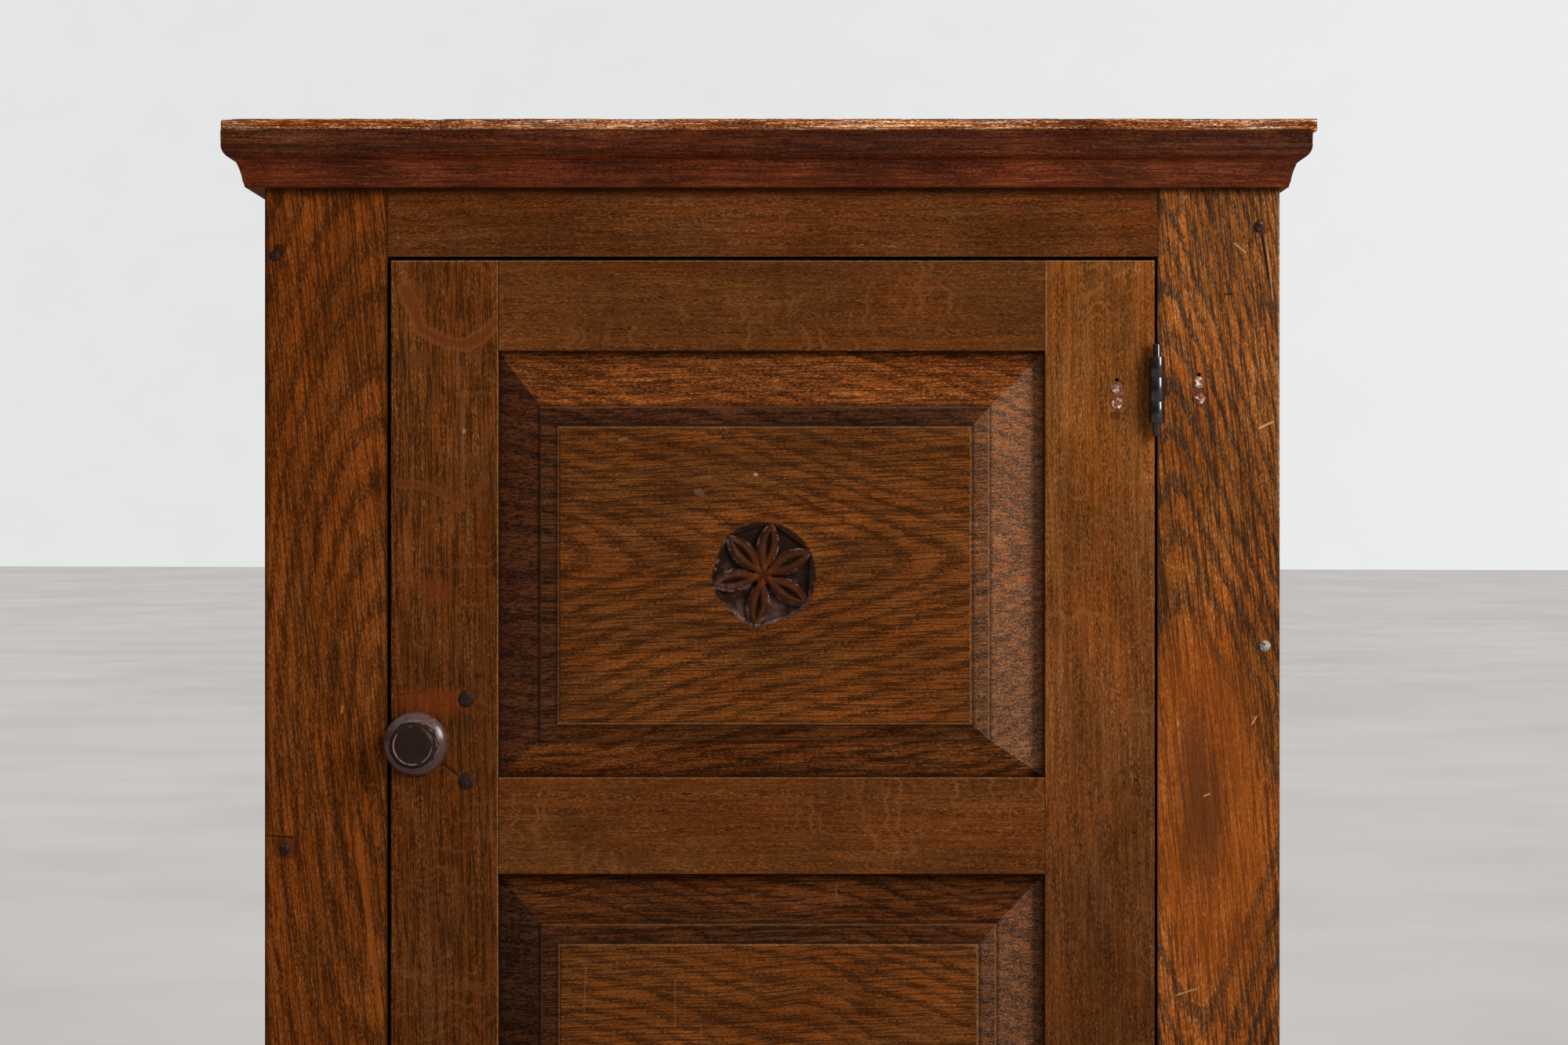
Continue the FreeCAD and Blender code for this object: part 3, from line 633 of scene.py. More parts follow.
@dataclass(frozen=True)
class Stroke:
    """A stain or crack along a broken line, with a core and a rim.

    Attributes:
        points: X and Z of its corners.
        width: half its width.
        core: colour of its core.
        rim: colour of its rim.
        amount: how much of those colours.
        ragged: how irregular its outline is.
        relief: height of its core in millimetres.
    """

    points: tuple[tuple[float, float], ...]
    width: float
    core: Triple
    rim: Triple
    amount: float = 0.8
    ragged: float = 1.0
    relief: float = 0.0

    def far(self, axes: Sequence[Signal]) -> Signal:
        """Measure how far a place is from the line.

        Args:
            axes: the object's X, Y and Z.

        Returns:
            The distance in half widths.
        """
        nearest: Optional[Signal] = None
        for (x, z), (to_x, to_z) in zip(self.points, self.points[1:]):
            run_x, run_z = to_x - x, to_z - z
            dx, dz = axes[0] - x, axes[2] - z
            share = (dx * run_x + dz * run_z) * (1.0 / (run_x * run_x + run_z * run_z))
            share = share.top(0.0).low(1.0)
            dx, dz = dx - share * run_x, dz - share * run_z
            near = dx * dx + dz * dz
            nearest = near if nearest is None else nearest.low(near)
        return nearest.root() * (1.0 / self.width)

    def dress(self, look: Look, grain: Grain) -> None:
        """Lay the stroke over a board.

        Args:
            look: the board's surface.
            grain: the board's noises.
        """
        far = self.far(look.axes) + ((grain.soot - 0.5) * 1.6 + (grain.edge - 0.5) * 0.9) * self.ragged
        core = far.step(0.62, 0.36) * look.half
        look.stain(self.rim, far.step(1.1, 0.8) * look.half * self.amount)
        look.stain(self.core, core * self.amount)
        if self.relief:
            look.raise_by(core * self.relief)


@dataclass(frozen=True)
class Rect:
    """A rectangle on a front: its left, bottom, right and top."""

    left: float
    bottom: float
    right: float
    top: float

    def signed(self, axes: Sequence[Signal]) -> Signal:
        """Measure how far outside the rectangle a place is, negative inside."""
        wide = (self.left - axes[0]).top(axes[0] - self.right)
        return wide.top((self.bottom - axes[2]).top(axes[2] - self.top))

    def inset(self, by: "Rect") -> "Rect":
        """Move each side inwards by its own width."""
        return Rect(self.left + by.left, self.bottom + by.bottom, self.right - by.right, self.top - by.top)


@dataclass(frozen=True)
class Zone:
    """How one slope or band of a raised panel differs from its field, with the light and shade painted on it.

    Attributes:
        factor: what its colour is multiplied by, which paints the light and shade of the side that it faces and makes a
            band darker than the field.
        wax: weight of the wax on it.
        sharp: how much stronger its fibres show.
        painted_glint: how strongly light and dark specks are painted on it as glints where light grazes its pores.
    """

    factor: Triple
    wax: float = 0.0
    sharp: float = 0.0
    painted_glint: float = 0.0


@dataclass(frozen=True)
class Raised:
    """The outlines of a raised panel, with its slopes and bands and their painted light and shade, each left, right,
    bottom, top.
    """

    sight: Rect
    step: Rect
    middle: Rect
    slopes: tuple[Zone, Zone, Zone, Zone]
    bands: tuple[Zone, Zone, Zone, Zone]

    @staticmethod
    def ring(outer: Rect, inner: Rect, axes: Sequence[Signal]) -> list[Signal]:
        """Make the four mitred masks between two rectangles.

        Args:
            outer: the outer rectangle.
            inner: the inner rectangle.
            axes: the object's X, Y and Z.

        Returns:
            Masks of the left, right, bottom and top sides.
        """
        shares = [
            (axes[0] - outer.left) * (1.0 / (inner.left - outer.left)),
            (outer.right - axes[0]) * (1.0 / (outer.right - inner.right)),
            (axes[2] - outer.bottom) * (1.0 / (inner.bottom - outer.bottom)),
            (outer.top - axes[2]) * (1.0 / (outer.top - inner.top)),
        ]
        masks = []
        for index, share in enumerate(shares):
            rest = [other for number, other in enumerate(shares) if number != index]
            nearest = rest[0].low(rest[1]).low(rest[2])
            masks.append((nearest - share).step(-0.02, 0.02) * share.step(1.02, 0.98) * share.step(-0.02, 0.0))
        return masks

    def zones(self, axes: Sequence[Signal]) -> list[tuple[Signal, Zone]]:
        """Pair the mask of each slope and band with what it changes."""
        half = front_half(axes)
        masks = self.ring(self.sight, self.step, axes) + self.ring(self.step, self.middle, axes)
        return [(mask * half, zone) for mask, zone in zip(masks, self.slopes + self.bands)]


def front_half(axes: Sequence[Signal]) -> Signal:
    """Mask the front half of the door and the face frame, so that nothing shows through behind."""
    return axes[1].step(FACE + 14.0 * MM, FACE + 12.0 * MM)


@dataclass(frozen=True)
class Carving:
    """A carved rosette: dirt and painted shade in its sunk ground, painted light on the ground and the left petals, and
    painted highlights along its edges.

    Attributes:
        x: its middle.
        z: its middle.
        radius: its radius.
        face: Y of the wood before it was carved.
        petals: the way each petal points, in degrees up from X.
        petal_width: half the width of a petal, in millimetres.
    """

    x: float
    z: float
    radius: float
    face: float
    petals: tuple[float, ...] = (27.0, 81.0, 132.0, 190.0, 260.0, 327.0)
    petal_width: float = 8.4

    def petal(self, dx: Signal, dz: Signal) -> Signal:
        """Measure how far inside its nearest petal a place is, in millimetres.

        Args:
            dx: X from the middle.
            dz: Z from the middle.

        Returns:
            The depth, negative between the petals.
        """
        best: Optional[Signal] = None
        for degrees in self.petals:
            angle = math.radians(degrees)
            run = (dx * math.cos(angle) + dz * math.sin(angle)) * (2.0 / self.radius) - 1.0
            side = abs(dz * math.cos(angle) - dx * math.sin(angle)) * (1.0 / MM)
            inside = (1.0 - run * run) * self.petal_width - side
            best = inside if best is None else best.top(inside)
        return best

    def dress(self, look: Look, grit: Signal) -> None:
        """Colour the carving by its depth and by its petals, and paint its light, shade and highlights.

        Args:
            look: the board's surface.
            grit: noise that breaks up the edges.
        """
        paint, axes, radius = look.paint, look.axes, self.radius
        dx, dz = axes[0] - self.x, axes[2] - self.z
        far = (dx * dx + dz * dz).root()
        petal = self.petal(dx, dz) + (grit - 0.5) * 1.2
        cut = (dx + dz).step(6.0 * MM, -16.0 * MM) * (0.28 * MM)
        reach = far - (petal * cut).low(0.0) + (grit - 0.5) * (2.2 * MM)
        disk = reach.step(0.985 * radius, 0.945 * radius) * look.half
        deep = (axes[1] - self.face) * (1.0 / MM)
        ground = (deep + (grit - 0.5) * 0.8).step(0.45, 1.5).top(petal.step(0.2, -0.6)) * disk
        leaf = 1.0 - ground
        left = dx.step(-8.0 * MM, -26.0 * MM) * leaf * disk
        look.stain((60, 31, 18), leaf * disk * 0.82)
        look.stain((126, 58, 24), far.step(11.0 * MM, 4.0 * MM) * leaf * 0.45)
        # painted light: a greyish sheen on the petals of the left side
        look.stain((98, 72, 64), left * grit.step(0.35, 0.65) * 0.5)
        # painted shade along the edges of the petals
        look.stain((40, 22, 16), petal.step(4.2, 0.4) * leaf * disk * 0.8)
        cloud = paint.noise(paint.place, 120.0, 2.0)
        # the sunk ground: dark with dirt and painted shade, with patches of painted light that grow towards the bottom
        lit = (cloud * 0.7 + grit * 0.3 - dz * (0.22 / radius)).step(0.46, 0.78) * petal.step(2.0, 0.0)
        ground_dirt_and_shade = paint.blend(tone(27, 16, 11), tone(74, 54, 50), lit)
        look.colour = paint.blend(look.colour, ground_dirt_and_shade, ground * 0.94)
        # painted highlights: bright specks along the petals' edges and the lower left edge of the ground
        sparkle = paint.noise(paint.place, 1700.0, 1.0).step(0.50, 0.62)
        rim = abs(petal - 0.8).step(1.3, 0.3) * far.step(0.2 * radius, 0.4 * radius)
        hem = abs(reach - 0.935 * radius).step(1.6 * MM, 0.4 * MM) * (dx + dz * 0.8).step(0.0, -14.0 * MM)
        rubbed = rim.top(hem * petal.step(1.0, -1.0)) * sparkle * disk * cloud.step(0.46, 0.60)
        look.stain((176, 154, 138), rubbed * 0.6)
        look.raise_by(petal.step(-0.8, 4.6) * disk * 1.5 + ground * (grit - 0.5) * 0.5)
        look.wax = ground * 0.10 + look.wax


@dataclass(frozen=True)
class Fade:
    """A slow change of a board's colour along one axis: full at its end, none at its start. On the right stile it
    paints a sheen at the top; on the door's stiles it is painted shade, with some of the finish, towards the bottom.
    """

    axis: int
    start: float
    end: float
    factor: Triple


@dataclass(frozen=True)
class Oak:
    """One board of old oak with its finish.

    Attributes:
        name: the material's name.
        lie: how the board lies.
        tones: its colours.
        figure: its rings.
        seed: offset of its noises.
        band: strength of the coarse early wood.
        hairs: strength of the dark hair lines.
        fibre: contrast of the broad fibres.
        grit: contrast of the short fibres.
        crisp: contrast of the pores.
        lean: how far the fibres run off the board's own direction.
        rays: strength of the flecks of quartered wood.
        blotch: contrast of the clouds.
        stain: how much dirt lies in patches.
        gloss: roughness of clean wood.
        specular: constant specular level.
        worn: seams that are rubbed pale.
        worn_amount: how pale.
        dirty: seams darkened by dirt, and under the moulding by its painted shadow.
        dirty_amount: how dark they are.
        face_only: whether that darkening hardly reaches round the board's arris.
        marks: its marks.
        strokes: its strokes.
        wax: weight of the wax.
        fades: its slow changes of colour, which on some boards are painted light and shade.
        raised: the slopes and bands of a raised panel, with their painted light and shade.
        carved: its rosette.
    """

    name: str
    lie: Lie
    tones: Tones
    figure: Figure
    seed: float = 0.0
    band: float = 0.95
    hairs: float = 0.70
    fibre: float = 0.35
    grit: float = 0.35
    crisp: float = 1.8
    lean: float = 0.0
    rays: float = 0.0
    blotch: float = 0.7
    stain: float = 0.25
    gloss: float = 0.40
    specular: float = 0.0
    worn: tuple[Seam, ...] = ()
    worn_amount: float = 0.75
    dirty: tuple[Seam, ...] = ()
    dirty_amount: float = 0.8
    face_only: bool = False
    marks: tuple[Mark, ...] = ()
    strokes: tuple[Stroke, ...] = ()
    wax: float = 0.0
    fades: tuple[Fade, ...] = ()
    raised: Optional[Raised] = None
    carved: Optional[Carving] = None

    def _grain(self, paint: Paint, axes: Sequence[Signal]) -> Grain:
        """Make the board's noises.

        Args:
            paint: the material under way.
            axes: the object's X, Y and Z.

        Returns:
            The noises, with the place along, across and through the board.
        """
        seed = self.seed
        along, across, deep = (axes[index] for index in self.lie.value)
        place = paint.vector(across, deep, along)
        wander = paint.weave(place, (9.0, 9.0, 1.0 / self.figure.reach), (seed, 2.0 * seed, 3.1))
        straight = across - along * self.lean + (wander - 0.5) * (0.5 * self.figure.wave)
        fibre = paint.vector(straight, deep, along)
        return Grain(
            along,
            across,
            deep,
            place,
            wander,
            ripple=paint.weave(place, (75.0, 75.0, 18.0), (5.0, seed, 1.7)),
            streak=paint.weave(fibre, (210.0, 210.0, 8.0), (seed, 7.0, 4.0), 3.0, 0.65),
            dash=paint.weave(fibre, (620.0, 620.0, 70.0), (3.0, 5.0, seed), 2.0, 0.6),
            fine=paint.weave(fibre, (1300.0, 1300.0, 400.0), (3.0, seed, 9.0), 2.0, 0.6),
            thread=paint.weave(fibre, (430.0, 430.0, 13.0), (7.0, seed, 2.0), 1.0),
            tooth=paint.weave(fibre, (420.0, 420.0, 75.0), (seed, 8.0, 6.0), 1.0, 0.6),
            cloud=paint.weave(place, (22.0, 22.0, 9.0), (seed, 4.0, 8.0), 4.0, 0.62),
            patch=paint.weave(place, (30.0, 30.0, 9.0), (seed, 9.0, 6.0)),
            edge=paint.noise(paint.place, 260.0, 3.0, 0.6),
            soot=paint.weave(paint.place, (34.0, 34.0, 34.0), (seed, 6.0, seed), 4.0, 0.65),
        )

    def _wood(
        self, paint: Paint, axes: tuple[Signal, Signal, Signal], grain: Grain, zones: list[tuple[Signal, Zone]]
    ) -> Look:
        """Make the bare wood: fibres, pores, hair lines and changes of hue.

        Args:
            paint: the material under way.
            axes: the object's X, Y and Z.
            grain: the board's noises.
            zones: masks of the slopes and bands, each with what it changes.

        Returns:
            The surface so far.
        """
        porous = self.figure.pores(paint, grain, self.seed)
        hair = abs(grain.thread - 0.5).step(0.085, 0.030) * grain.dash.step(0.34, 0.50)
        broad, short, pore = grain.streak - 0.5, grain.dash - 0.5, grain.fine - 0.5
        value = (grain.cloud - 0.5) * self.blotch + broad * self.fibre + short * self.grit
        value = value + pore * (porous * 0.6 + 0.7) * self.crisp
        for mask, zone in zones:
            if zone.sharp:
                value = value * (mask * zone.sharp + 1.0)
        colour = paint.node("ShaderNodeValToRGB", {"stops": self.tones.stops()}, {0: value + 0.5})
        warmth = (grain.patch * 0.6 + grain.cloud * 0.4).step(0.38, 0.62)
        hue = paint.blend((0.93, 1.03, 1.14, 1.0), (1.07, 0.97, 0.84, 1.0), warmth)
        colour = paint.blend(colour, hue, 1.0, "MULTIPLY")
        sunk, risen = (tuple(share * part for part in self.tones.coarse) for share in (0.60, 1.42))
        early = paint.blend(tone(*sunk), tone(*risen), (grain.fine * 0.6 + grain.dash * 0.4).step(0.36, 0.66))
        colour = paint.blend(colour, early, porous * self.band)
        height = broad * 0.10 + short * 0.22 - porous * 0.05 + pore * 0.12 - hair * 0.06
        rough = (0.5 - grain.dash) * 0.25 + broad * 0.14 + porous * 0.05 + self.gloss
        look = Look(paint, axes, colour, height, rough, self.wax, front_half(axes))
        look.stain(sunk, hair * self.hairs)
        return look

    def _flecks(self, look: Look, grain: Grain) -> None:
        """Scatter the bright flecks of quartered oak.

        Args:
            look: the board's surface.
            grain: the board's noises.
        """
        paint = look.paint
        wavy = grain.along + (grain.ripple - 0.5) * 0.03
        bowed = paint.vector(grain.across * 24.0, grain.deep * 24.0, wavy * 300.0)
        flecks = paint.weave(bowed, (1.0, 1.0, 1.0), (self.seed, 1.0, 2.0), 1.0)
        patch = paint.weave(grain.place, (12.0, 12.0, 9.0), (2.0, self.seed, 5.0), 1.0)
        fleck = flecks.step(0.55, 0.72) * patch.step(0.40, 0.60) * self.rays
        look.stain(self.tones.bright, fleck)
        look.rough = look.rough - fleck * 0.10

    def _shade(self, look: Look, zones: list[tuple[Signal, Zone]]) -> None:
        """Paint the light and shade of the slopes and bands of a raised panel, with their glints, and lay the slow
        changes along a board, some of which are painted light and shade.

        Args:
            look: the board's surface.
            zones: masks of the slopes and bands, each with what it changes.
        """
        for mask, zone in zones:
            # painted light and shade of the side that each slope and band faces
            look.filter(zone.factor, mask)
            look.wax = mask * (zone.wax - self.wax) + look.wax
            # painted glints: light and dark specks where light grazes the pores
            if zone.painted_glint:
                glint_noise = look.paint.weave(look.paint.place, (1100.0, 1100.0, 1900.0), rough=0.6)
                look.stain((178, 142, 116), glint_noise.step(0.50, 0.70) * mask * zone.painted_glint)
                look.stain((62, 30, 14), glint_noise.step(0.48, 0.34) * mask * (0.6 * zone.painted_glint))
                look.raise_by(glint_noise * mask * 0.25)
        for fade in self.fades:
            look.filter(fade.factor, look.axes[fade.axis].step(fade.start, fade.end))

    @staticmethod
    def _seams(seams: Iterable[Seam], axes: Sequence[Signal]) -> Optional[Signal]:
        """Make one mask from several seams.

        Args:
            seams: the lines.
            axes: the object's X, Y and Z.

        Returns:
            The mask, or none without seams.
        """
        mask: Optional[Signal] = None
        for seam in seams:
            line = abs(axes[seam.axis] - seam.at).step(seam.width, 0.0)
            other = axes[2] if seam.axis == 0 else axes[0]
            if seam.start is not None:
                line = line * other.step(seam.start - SEAM_END, seam.start)
            if seam.end is not None:
                line = line * other.step(seam.end + SEAM_END, seam.end)
            mask = line if mask is None else mask.top(line)
        return mask

    def _soil_and_shade(self, look: Look, soot: Signal, face: Signal) -> None:
        """Lay old dirt in patches and along seams, paint the moulding's shadow along the seams under it, and paint
        shade in the corners of a raised panel.

        Args:
            look: the board's surface.
            soot: clouds of dirt.
            face: mask of the board's very front.
        """
        dirt_and_shade_mask = soot.step(0.52, 0.80) * self.stain
        # dirt along the seams, and under the moulding its painted shadow
        dirty = self._seams(self.dirty, look.axes)
        if dirty is not None:
            if self.face_only:
                dirty = dirty * (face * 0.75 + 0.25)
            dirt_and_shade_mask = dirt_and_shade_mask.top(dirty * (0.55 + 0.75 * (soot - 0.15)) * self.dirty_amount)
        # painted shade at the feet of the steps, and painted shadow of the frame along the sight edges
        if self.raised is not None:
            for rect in (self.raised.step, self.raised.middle):
                away = rect.signed(look.axes)
                foot = away.step(3.5 * MM, 0.8 * MM) * away.step(-0.2 * MM, 0.4 * MM)
                dirt_and_shade_mask = dirt_and_shade_mask.top(foot * (0.45 + 0.7 * soot) * self.dirty_amount * look.half)
            sight = self.raised.sight.signed(look.axes).step(-3.0 * MM, 0.0)
            dirt_and_shade_mask = dirt_and_shade_mask.top(sight * (0.5 + 0.6 * soot) * self.dirty_amount * look.half)
        look.stain(self.tones.dirt, dirt_and_shade_mask)
        look.rough = look.rough + dirt_and_shade_mask * 0.16

    def _rub_and_highlight(self, look: Look, edge: Signal, face: Signal) -> None:
        """Rub the arrises of a raised panel and the worn seams pale; on the arrises the pale line is painted highlight
        as well as wear.

        Args:
            look: the board's surface.
            edge: noise that breaks up the rubbed lines.
            face: mask of the board's very front.
        """
        speckle = edge.step(0.42, 0.60)
        if self.raised is not None:
            # the steps' arrises: pale with wear, and with painted highlight where the light catches them
            for rect, share in ((self.raised.step, 0.28), (self.raised.middle, 0.48)):
                away = rect.signed(look.axes)
                arris = away.step(-1.4 * MM, -0.5 * MM) * away.step(0.6 * MM, -0.2 * MM)
                look.stain(self.tones.worn, arris * (speckle * 0.4 + 0.6) * share * look.half * self.worn_amount)
        worn = self._seams(self.worn, look.axes)
        if worn is not None:
            worn = worn * face
            rubbed = worn * (speckle * 0.6 + 0.4) * self.worn_amount
            look.stain(self.tones.worn, rubbed)
            look.height = look.height - worn * (edge - 0.3) * 0.35
            look.rough = look.rough + rubbed * 0.15

    def material(self) -> bpy.types.Material:
        """Build the board's material, from the bare wood to the last scratch."""
        paint = Paint(self.name)
        axes = paint.axes()
        grain = self._grain(paint, axes)
        zones = self.raised.zones(axes) if self.raised is not None else []
        look = self._wood(paint, axes, grain, zones)
        if self.rays:
            self._flecks(look, grain)
        self._shade(look, zones)
        face = axes[1].step(FACE + 3.0 * MM, FACE + 1.0 * MM)
        self._soil_and_shade(look, grain.soot, face)
        self._rub_and_highlight(look, grain.edge, face)
        if self.carved is not None:
            self.carved.dress(look, grain.edge)
        for stroke in self.strokes:
            stroke.dress(look, grain)
        for mark in self.marks:
            mark.dress(look, grain.edge * 0.5 + grain.thread * 0.5)
        return paint.close(
            look.colour, look.rough, look.height, specular=self.specular, coat=look.wax, coat_rough=0.36
        )


@dataclass(frozen=True)
class Metal:
    """Iron as a smith or a nail maker leaves it.

    Attributes:
        name: the material's name.
        dark: blackened skin.
        bright: rubbed or struck places; on the hinge nails it also stands for painted glints.
        rust: brown bloom.
        bright_share: how much takes the bright colour.
        rust_share: how much has the brown bloom.
        grain: size of its pits, in cells to the metre.
        relief: depth of its dents in millimetres.
        gloss: roughness of the rubbed metal.
        clean: X and Z of one head that is bare and grey.
        coat: weight of the grease or wax on it.
    """

    name: str
    dark: Triple
    bright: Triple
    rust: Triple
    bright_share: float = 0.3
    rust_share: float = 0.3
    grain: float = 700.0
    relief: float = 0.12
    gloss: float = 0.32
    clean: Optional[tuple[float, float]] = None
    coat: float = 0.0

    def material(self) -> bpy.types.Material:
        """Build the metal's material."""
        paint = Paint(self.name)
        broad = paint.noise(paint.place, self.grain * 0.28, 3.0, 0.6)
        dent = paint.noise(paint.place, self.grain, 3.0, 0.65)
        pits = paint.cells(paint.place, self.grain * 1.6)
        rubbed = broad.step(0.62 - 0.3 * self.bright_share, 0.80 - 0.3 * self.bright_share)
        bloom = dent.step(0.66 - 0.3 * self.rust_share, 0.84 - 0.3 * self.rust_share)
        colour = paint.blend(tone(*self.dark), tone(*self.bright), rubbed)
        colour = paint.blend(colour, tone(*self.rust), bloom * 0.7)
        if self.clean is not None:
            x, _, z = paint.axes()
            near = abs(x - self.clean[0]).top(abs(z - self.clean[1])).step(9.0 * MM, 7.0 * MM)
            colour = paint.blend(colour, tone(168, 158, 150), near * dent.step(0.30, 0.60))
        rough = self.gloss + (1.0 - rubbed) * 0.16 + bloom * 0.25
        height = (dent - 0.5) * (2.0 * self.relief) - pits.step(0.35, 0.1) * (0.4 * self.relief)
        metal = (1.0 - bloom) * 0.85
        return paint.close(colour, rough, height, metallic=metal, specular=0.4, coat=self.coat, coat_rough=0.14)


@dataclass(frozen=True)
class TurnedWood:
    """Dark turned wood, polished by hands, seen along its axis.

    Attributes:
        name: the material's name.
        centre: a point of the turning's axis.
        face_radius: where the darker face ends.
        rim_radius: where the head's rim is, with its painted highlight.
        flange: colour of the flange.
        face: colour of the face.
        rim: colour of the light fibres of the flange and of the painted highlights on the rims.
    """

    name: str
    centre: Triple
    face_radius: float
    rim_radius: float
    flange: Triple
    face: Triple
    rim: Triple

    def material(self) -> bpy.types.Material:
        """Build the turned wood's material."""
        paint = Paint(self.name)
        x, y, z = paint.axes()
        dx = x - self.centre[0]
        dz = z - self.centre[2]
        far = (dx * dx + dz * dz).root()
        fibre = paint.weave(paint.place, (300.0, 90.0, 900.0), detail=3.0, rough=0.6)
        cloud = paint.noise(paint.place, 130.0, 4.0, 0.6)
        turned = paint.noise(paint.vector(far * 1500.0, y * 1500.0, 0.0), 1.0, 1.0)
        head = far.step(self.rim_radius + 0.6 * MM, self.rim_radius)
        colour = paint.blend(tone(*self.flange), tone(*self.face), head)
        colour = paint.blend(colour, tone(*self.rim), fibre.step(0.52, 0.75) * (1.0 - head) * 0.3)
        colour = paint.blend(colour, tone(22, 13, 11), cloud.step(0.50, 0.75) * 0.5)
        # painted shade: the flange darker towards the lower right
        lower = (dx * 0.5 - dz).step(-6.0 * MM, 20.0 * MM) * (1.0 - head)
        colour = paint.blend(colour, tone(52, 34, 28), lower * 0.7)
        # painted highlights: thin bright arcs at the edge of the face and at the head's rim
        for radius in (self.face_radius, self.rim_radius):
            rubbed = abs(far - radius).step(0.7 * MM, 0.15 * MM) * cloud.step(0.42, 0.58)
            colour = paint.blend(colour, tone(*self.rim), rubbed * 0.6)
        rough = 0.26 + (fibre - 0.5) * 0.2 + cloud * 0.14
        height = (turned - 0.5) * 0.03 + (fibre - 0.5) * 0.04
        return paint.close(colour, rough, height, specular=0.10, coat=(1.0 - head) * 0.5, coat_rough=0.22)


# ---------------------------------------------------------------- mesh helpers


def put_in_scene(name: str, data: bpy.types.ID) -> bpy.types.Object:
    """Make an object of a mesh, a lamp or a camera and link it into the scene."""
    made = bpy.data.objects.new(name, data)
    bpy.context.scene.collection.objects.link(made)
    return made


def to_mesh(name: str, bm: bmesh.types.BMesh, material: bpy.types.Material) -> bpy.types.Mesh:
    """Turn a bmesh into a mesh.

    Args:
        name: the mesh's name.
        bm: the shape, freed here.
        material: its finish.

    Returns:
        The new mesh.
    """
    mesh = bpy.data.meshes.new(name)
    bm.to_mesh(mesh)
    bm.free()
    mesh.materials.append(material)
    return mesh


def settle(name: str, bm: bmesh.types.BMesh, body: str, material: bpy.types.Material) -> bpy.types.Object:
    """Turn a bmesh into a finished piece that rides on a body.

    Args:
        name: the piece's name.
        bm: the shape, freed here.
        body: the CAD body it rides on.
        material: its finish.

    Returns:
        The new object.
    """
    bmesh.ops.remove_doubles(bm, verts=bm.verts, dist=0.004 * MM)
    bmesh.ops.recalc_face_normals(bm, faces=bm.faces)
    for face in bm.faces:
        face.smooth = True
    piece = put_in_scene(name, to_mesh(name, bm, material))
    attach(piece, body)
    return piece


def soften(piece: bpy.types.Object, width: float) -> None:
    """Round the arrises of a CAD node by modifiers, which leave its mesh alone.

    Args:
        piece: the node's object.
        width: width of the rounding.
    """
    weld = piece.modifiers.new("Weld", "WELD")
    weld.merge_threshold = 0.01 * MM
    plane = piece.modifiers.new("Planes", "DECIMATE")
    plane.decimate_type = "DISSOLVE"
    plane.angle_limit = math.radians(FLAT_ANGLE)
    bevel = piece.modifiers.new("Arris", "BEVEL")
    bevel.width = width
    bevel.segments = 2
    bevel.limit_method = "ANGLE"
    bevel.angle_limit = math.radians(ARRIS_ANGLE)
    bevel.use_clamp_overlap = True
    bevel.miter_outer = "MITER_ARC"
    bevel.harden_normals = False


def lathe(outline: Sequence[tuple[float, float]], centre: Triple, steps: int) -> bmesh.types.BMesh:
    """Turn an outline about an axis that faces the front.

    Args:
        outline: radius, and height towards the front, from the back to the tip.
        centre: where the axis meets the height of zero.
        steps: segments of the turn.

    Returns:
        The turned shape.
    """
    bm = bmesh.new()
    verts = [bm.verts.new((radius, -height, 0.0)) for radius, height in outline]
    edges = [bm.edges.new(pair) for pair in zip(verts, verts[1:])]
    bmesh.ops.spin(
        bm,
        geom=[*verts, *edges],
        cent=(0.0, 0.0, 0.0),
        axis=(0.0, 1.0, 0.0),
        angle=2.0 * math.pi,
        steps=steps,
        use_merge=True,
    )
    bmesh.ops.remove_doubles(bm, verts=bm.verts, dist=0.01 * MM)
    bmesh.ops.translate(bm, verts=bm.verts, vec=centre)
    return bm


def add_head(bm: bmesh.types.BMesh, place: Triple, radius: float, height: float, seed: float, rough: float) -> None:
    """Add one hammered nail head that faces the front.

    Args:
        bm: the mesh that takes the head.
        place: the middle of the head's foot, on the wood.
        radius: the head's radius.
        height: how far it stands out of the wood.
        seed: offset of its hammer marks.
        rough: depth of its hammer marks as a share of its height.
    """
    ball = bmesh.ops.create_icosphere(bm, subdivisions=4, radius=radius)
    verts = ball["verts"]
    bmesh.ops.scale(bm, verts=verts, vec=(1.0, height / radius, 1.0))
    for vert in verts:
        turn = math.atan2(vert.co.z, vert.co.x)
        swell = 1.0 + 0.10 * noise.noise(Vector((math.cos(turn), math.sin(turn), seed)) * 1.3)
        vert.co.x *= swell
        vert.co.z *= swell
        spot = Vector((vert.co.x, vert.co.z, seed * 3.0 * MM)) / (0.42 * radius)
        vert.co.y += noise.noise(spot) * height * rough
        vert.co.y = max(vert.co.y, -height)
    bmesh.ops.translate(bm, verts=verts, vec=place)


def head_places(node: bpy.types.Object, face: float) -> list[Triple]:
    """Find the nail heads of a node: the middles of what stands out of the front.

    Args:
        node: the CAD node of the nails.
        face: Y of the wood's face.

    Returns:
        The middle of each head's foot, from the left.
    """
    groups: list[list[Vector]] = []
    for vert in node.data.vertices:
        if vert.co.y > face - HEAD_RISE:
            continue
        for group in groups:
            if (group[0] - vert.co).length < HEAD_SPAN:
                group.append(vert.co.copy())
                break
        else:
            groups.append([vert.co.copy()])
    places = []
    for group in groups:
        xs = [place.x for place in group]
        zs = [place.z for place in group]
        places.append(((min(xs) + max(xs)) / 2, face, (min(zs) + max(zs)) / 2))
    return sorted(places)


# ---------------------------------------------------------------- the sub-assemblies


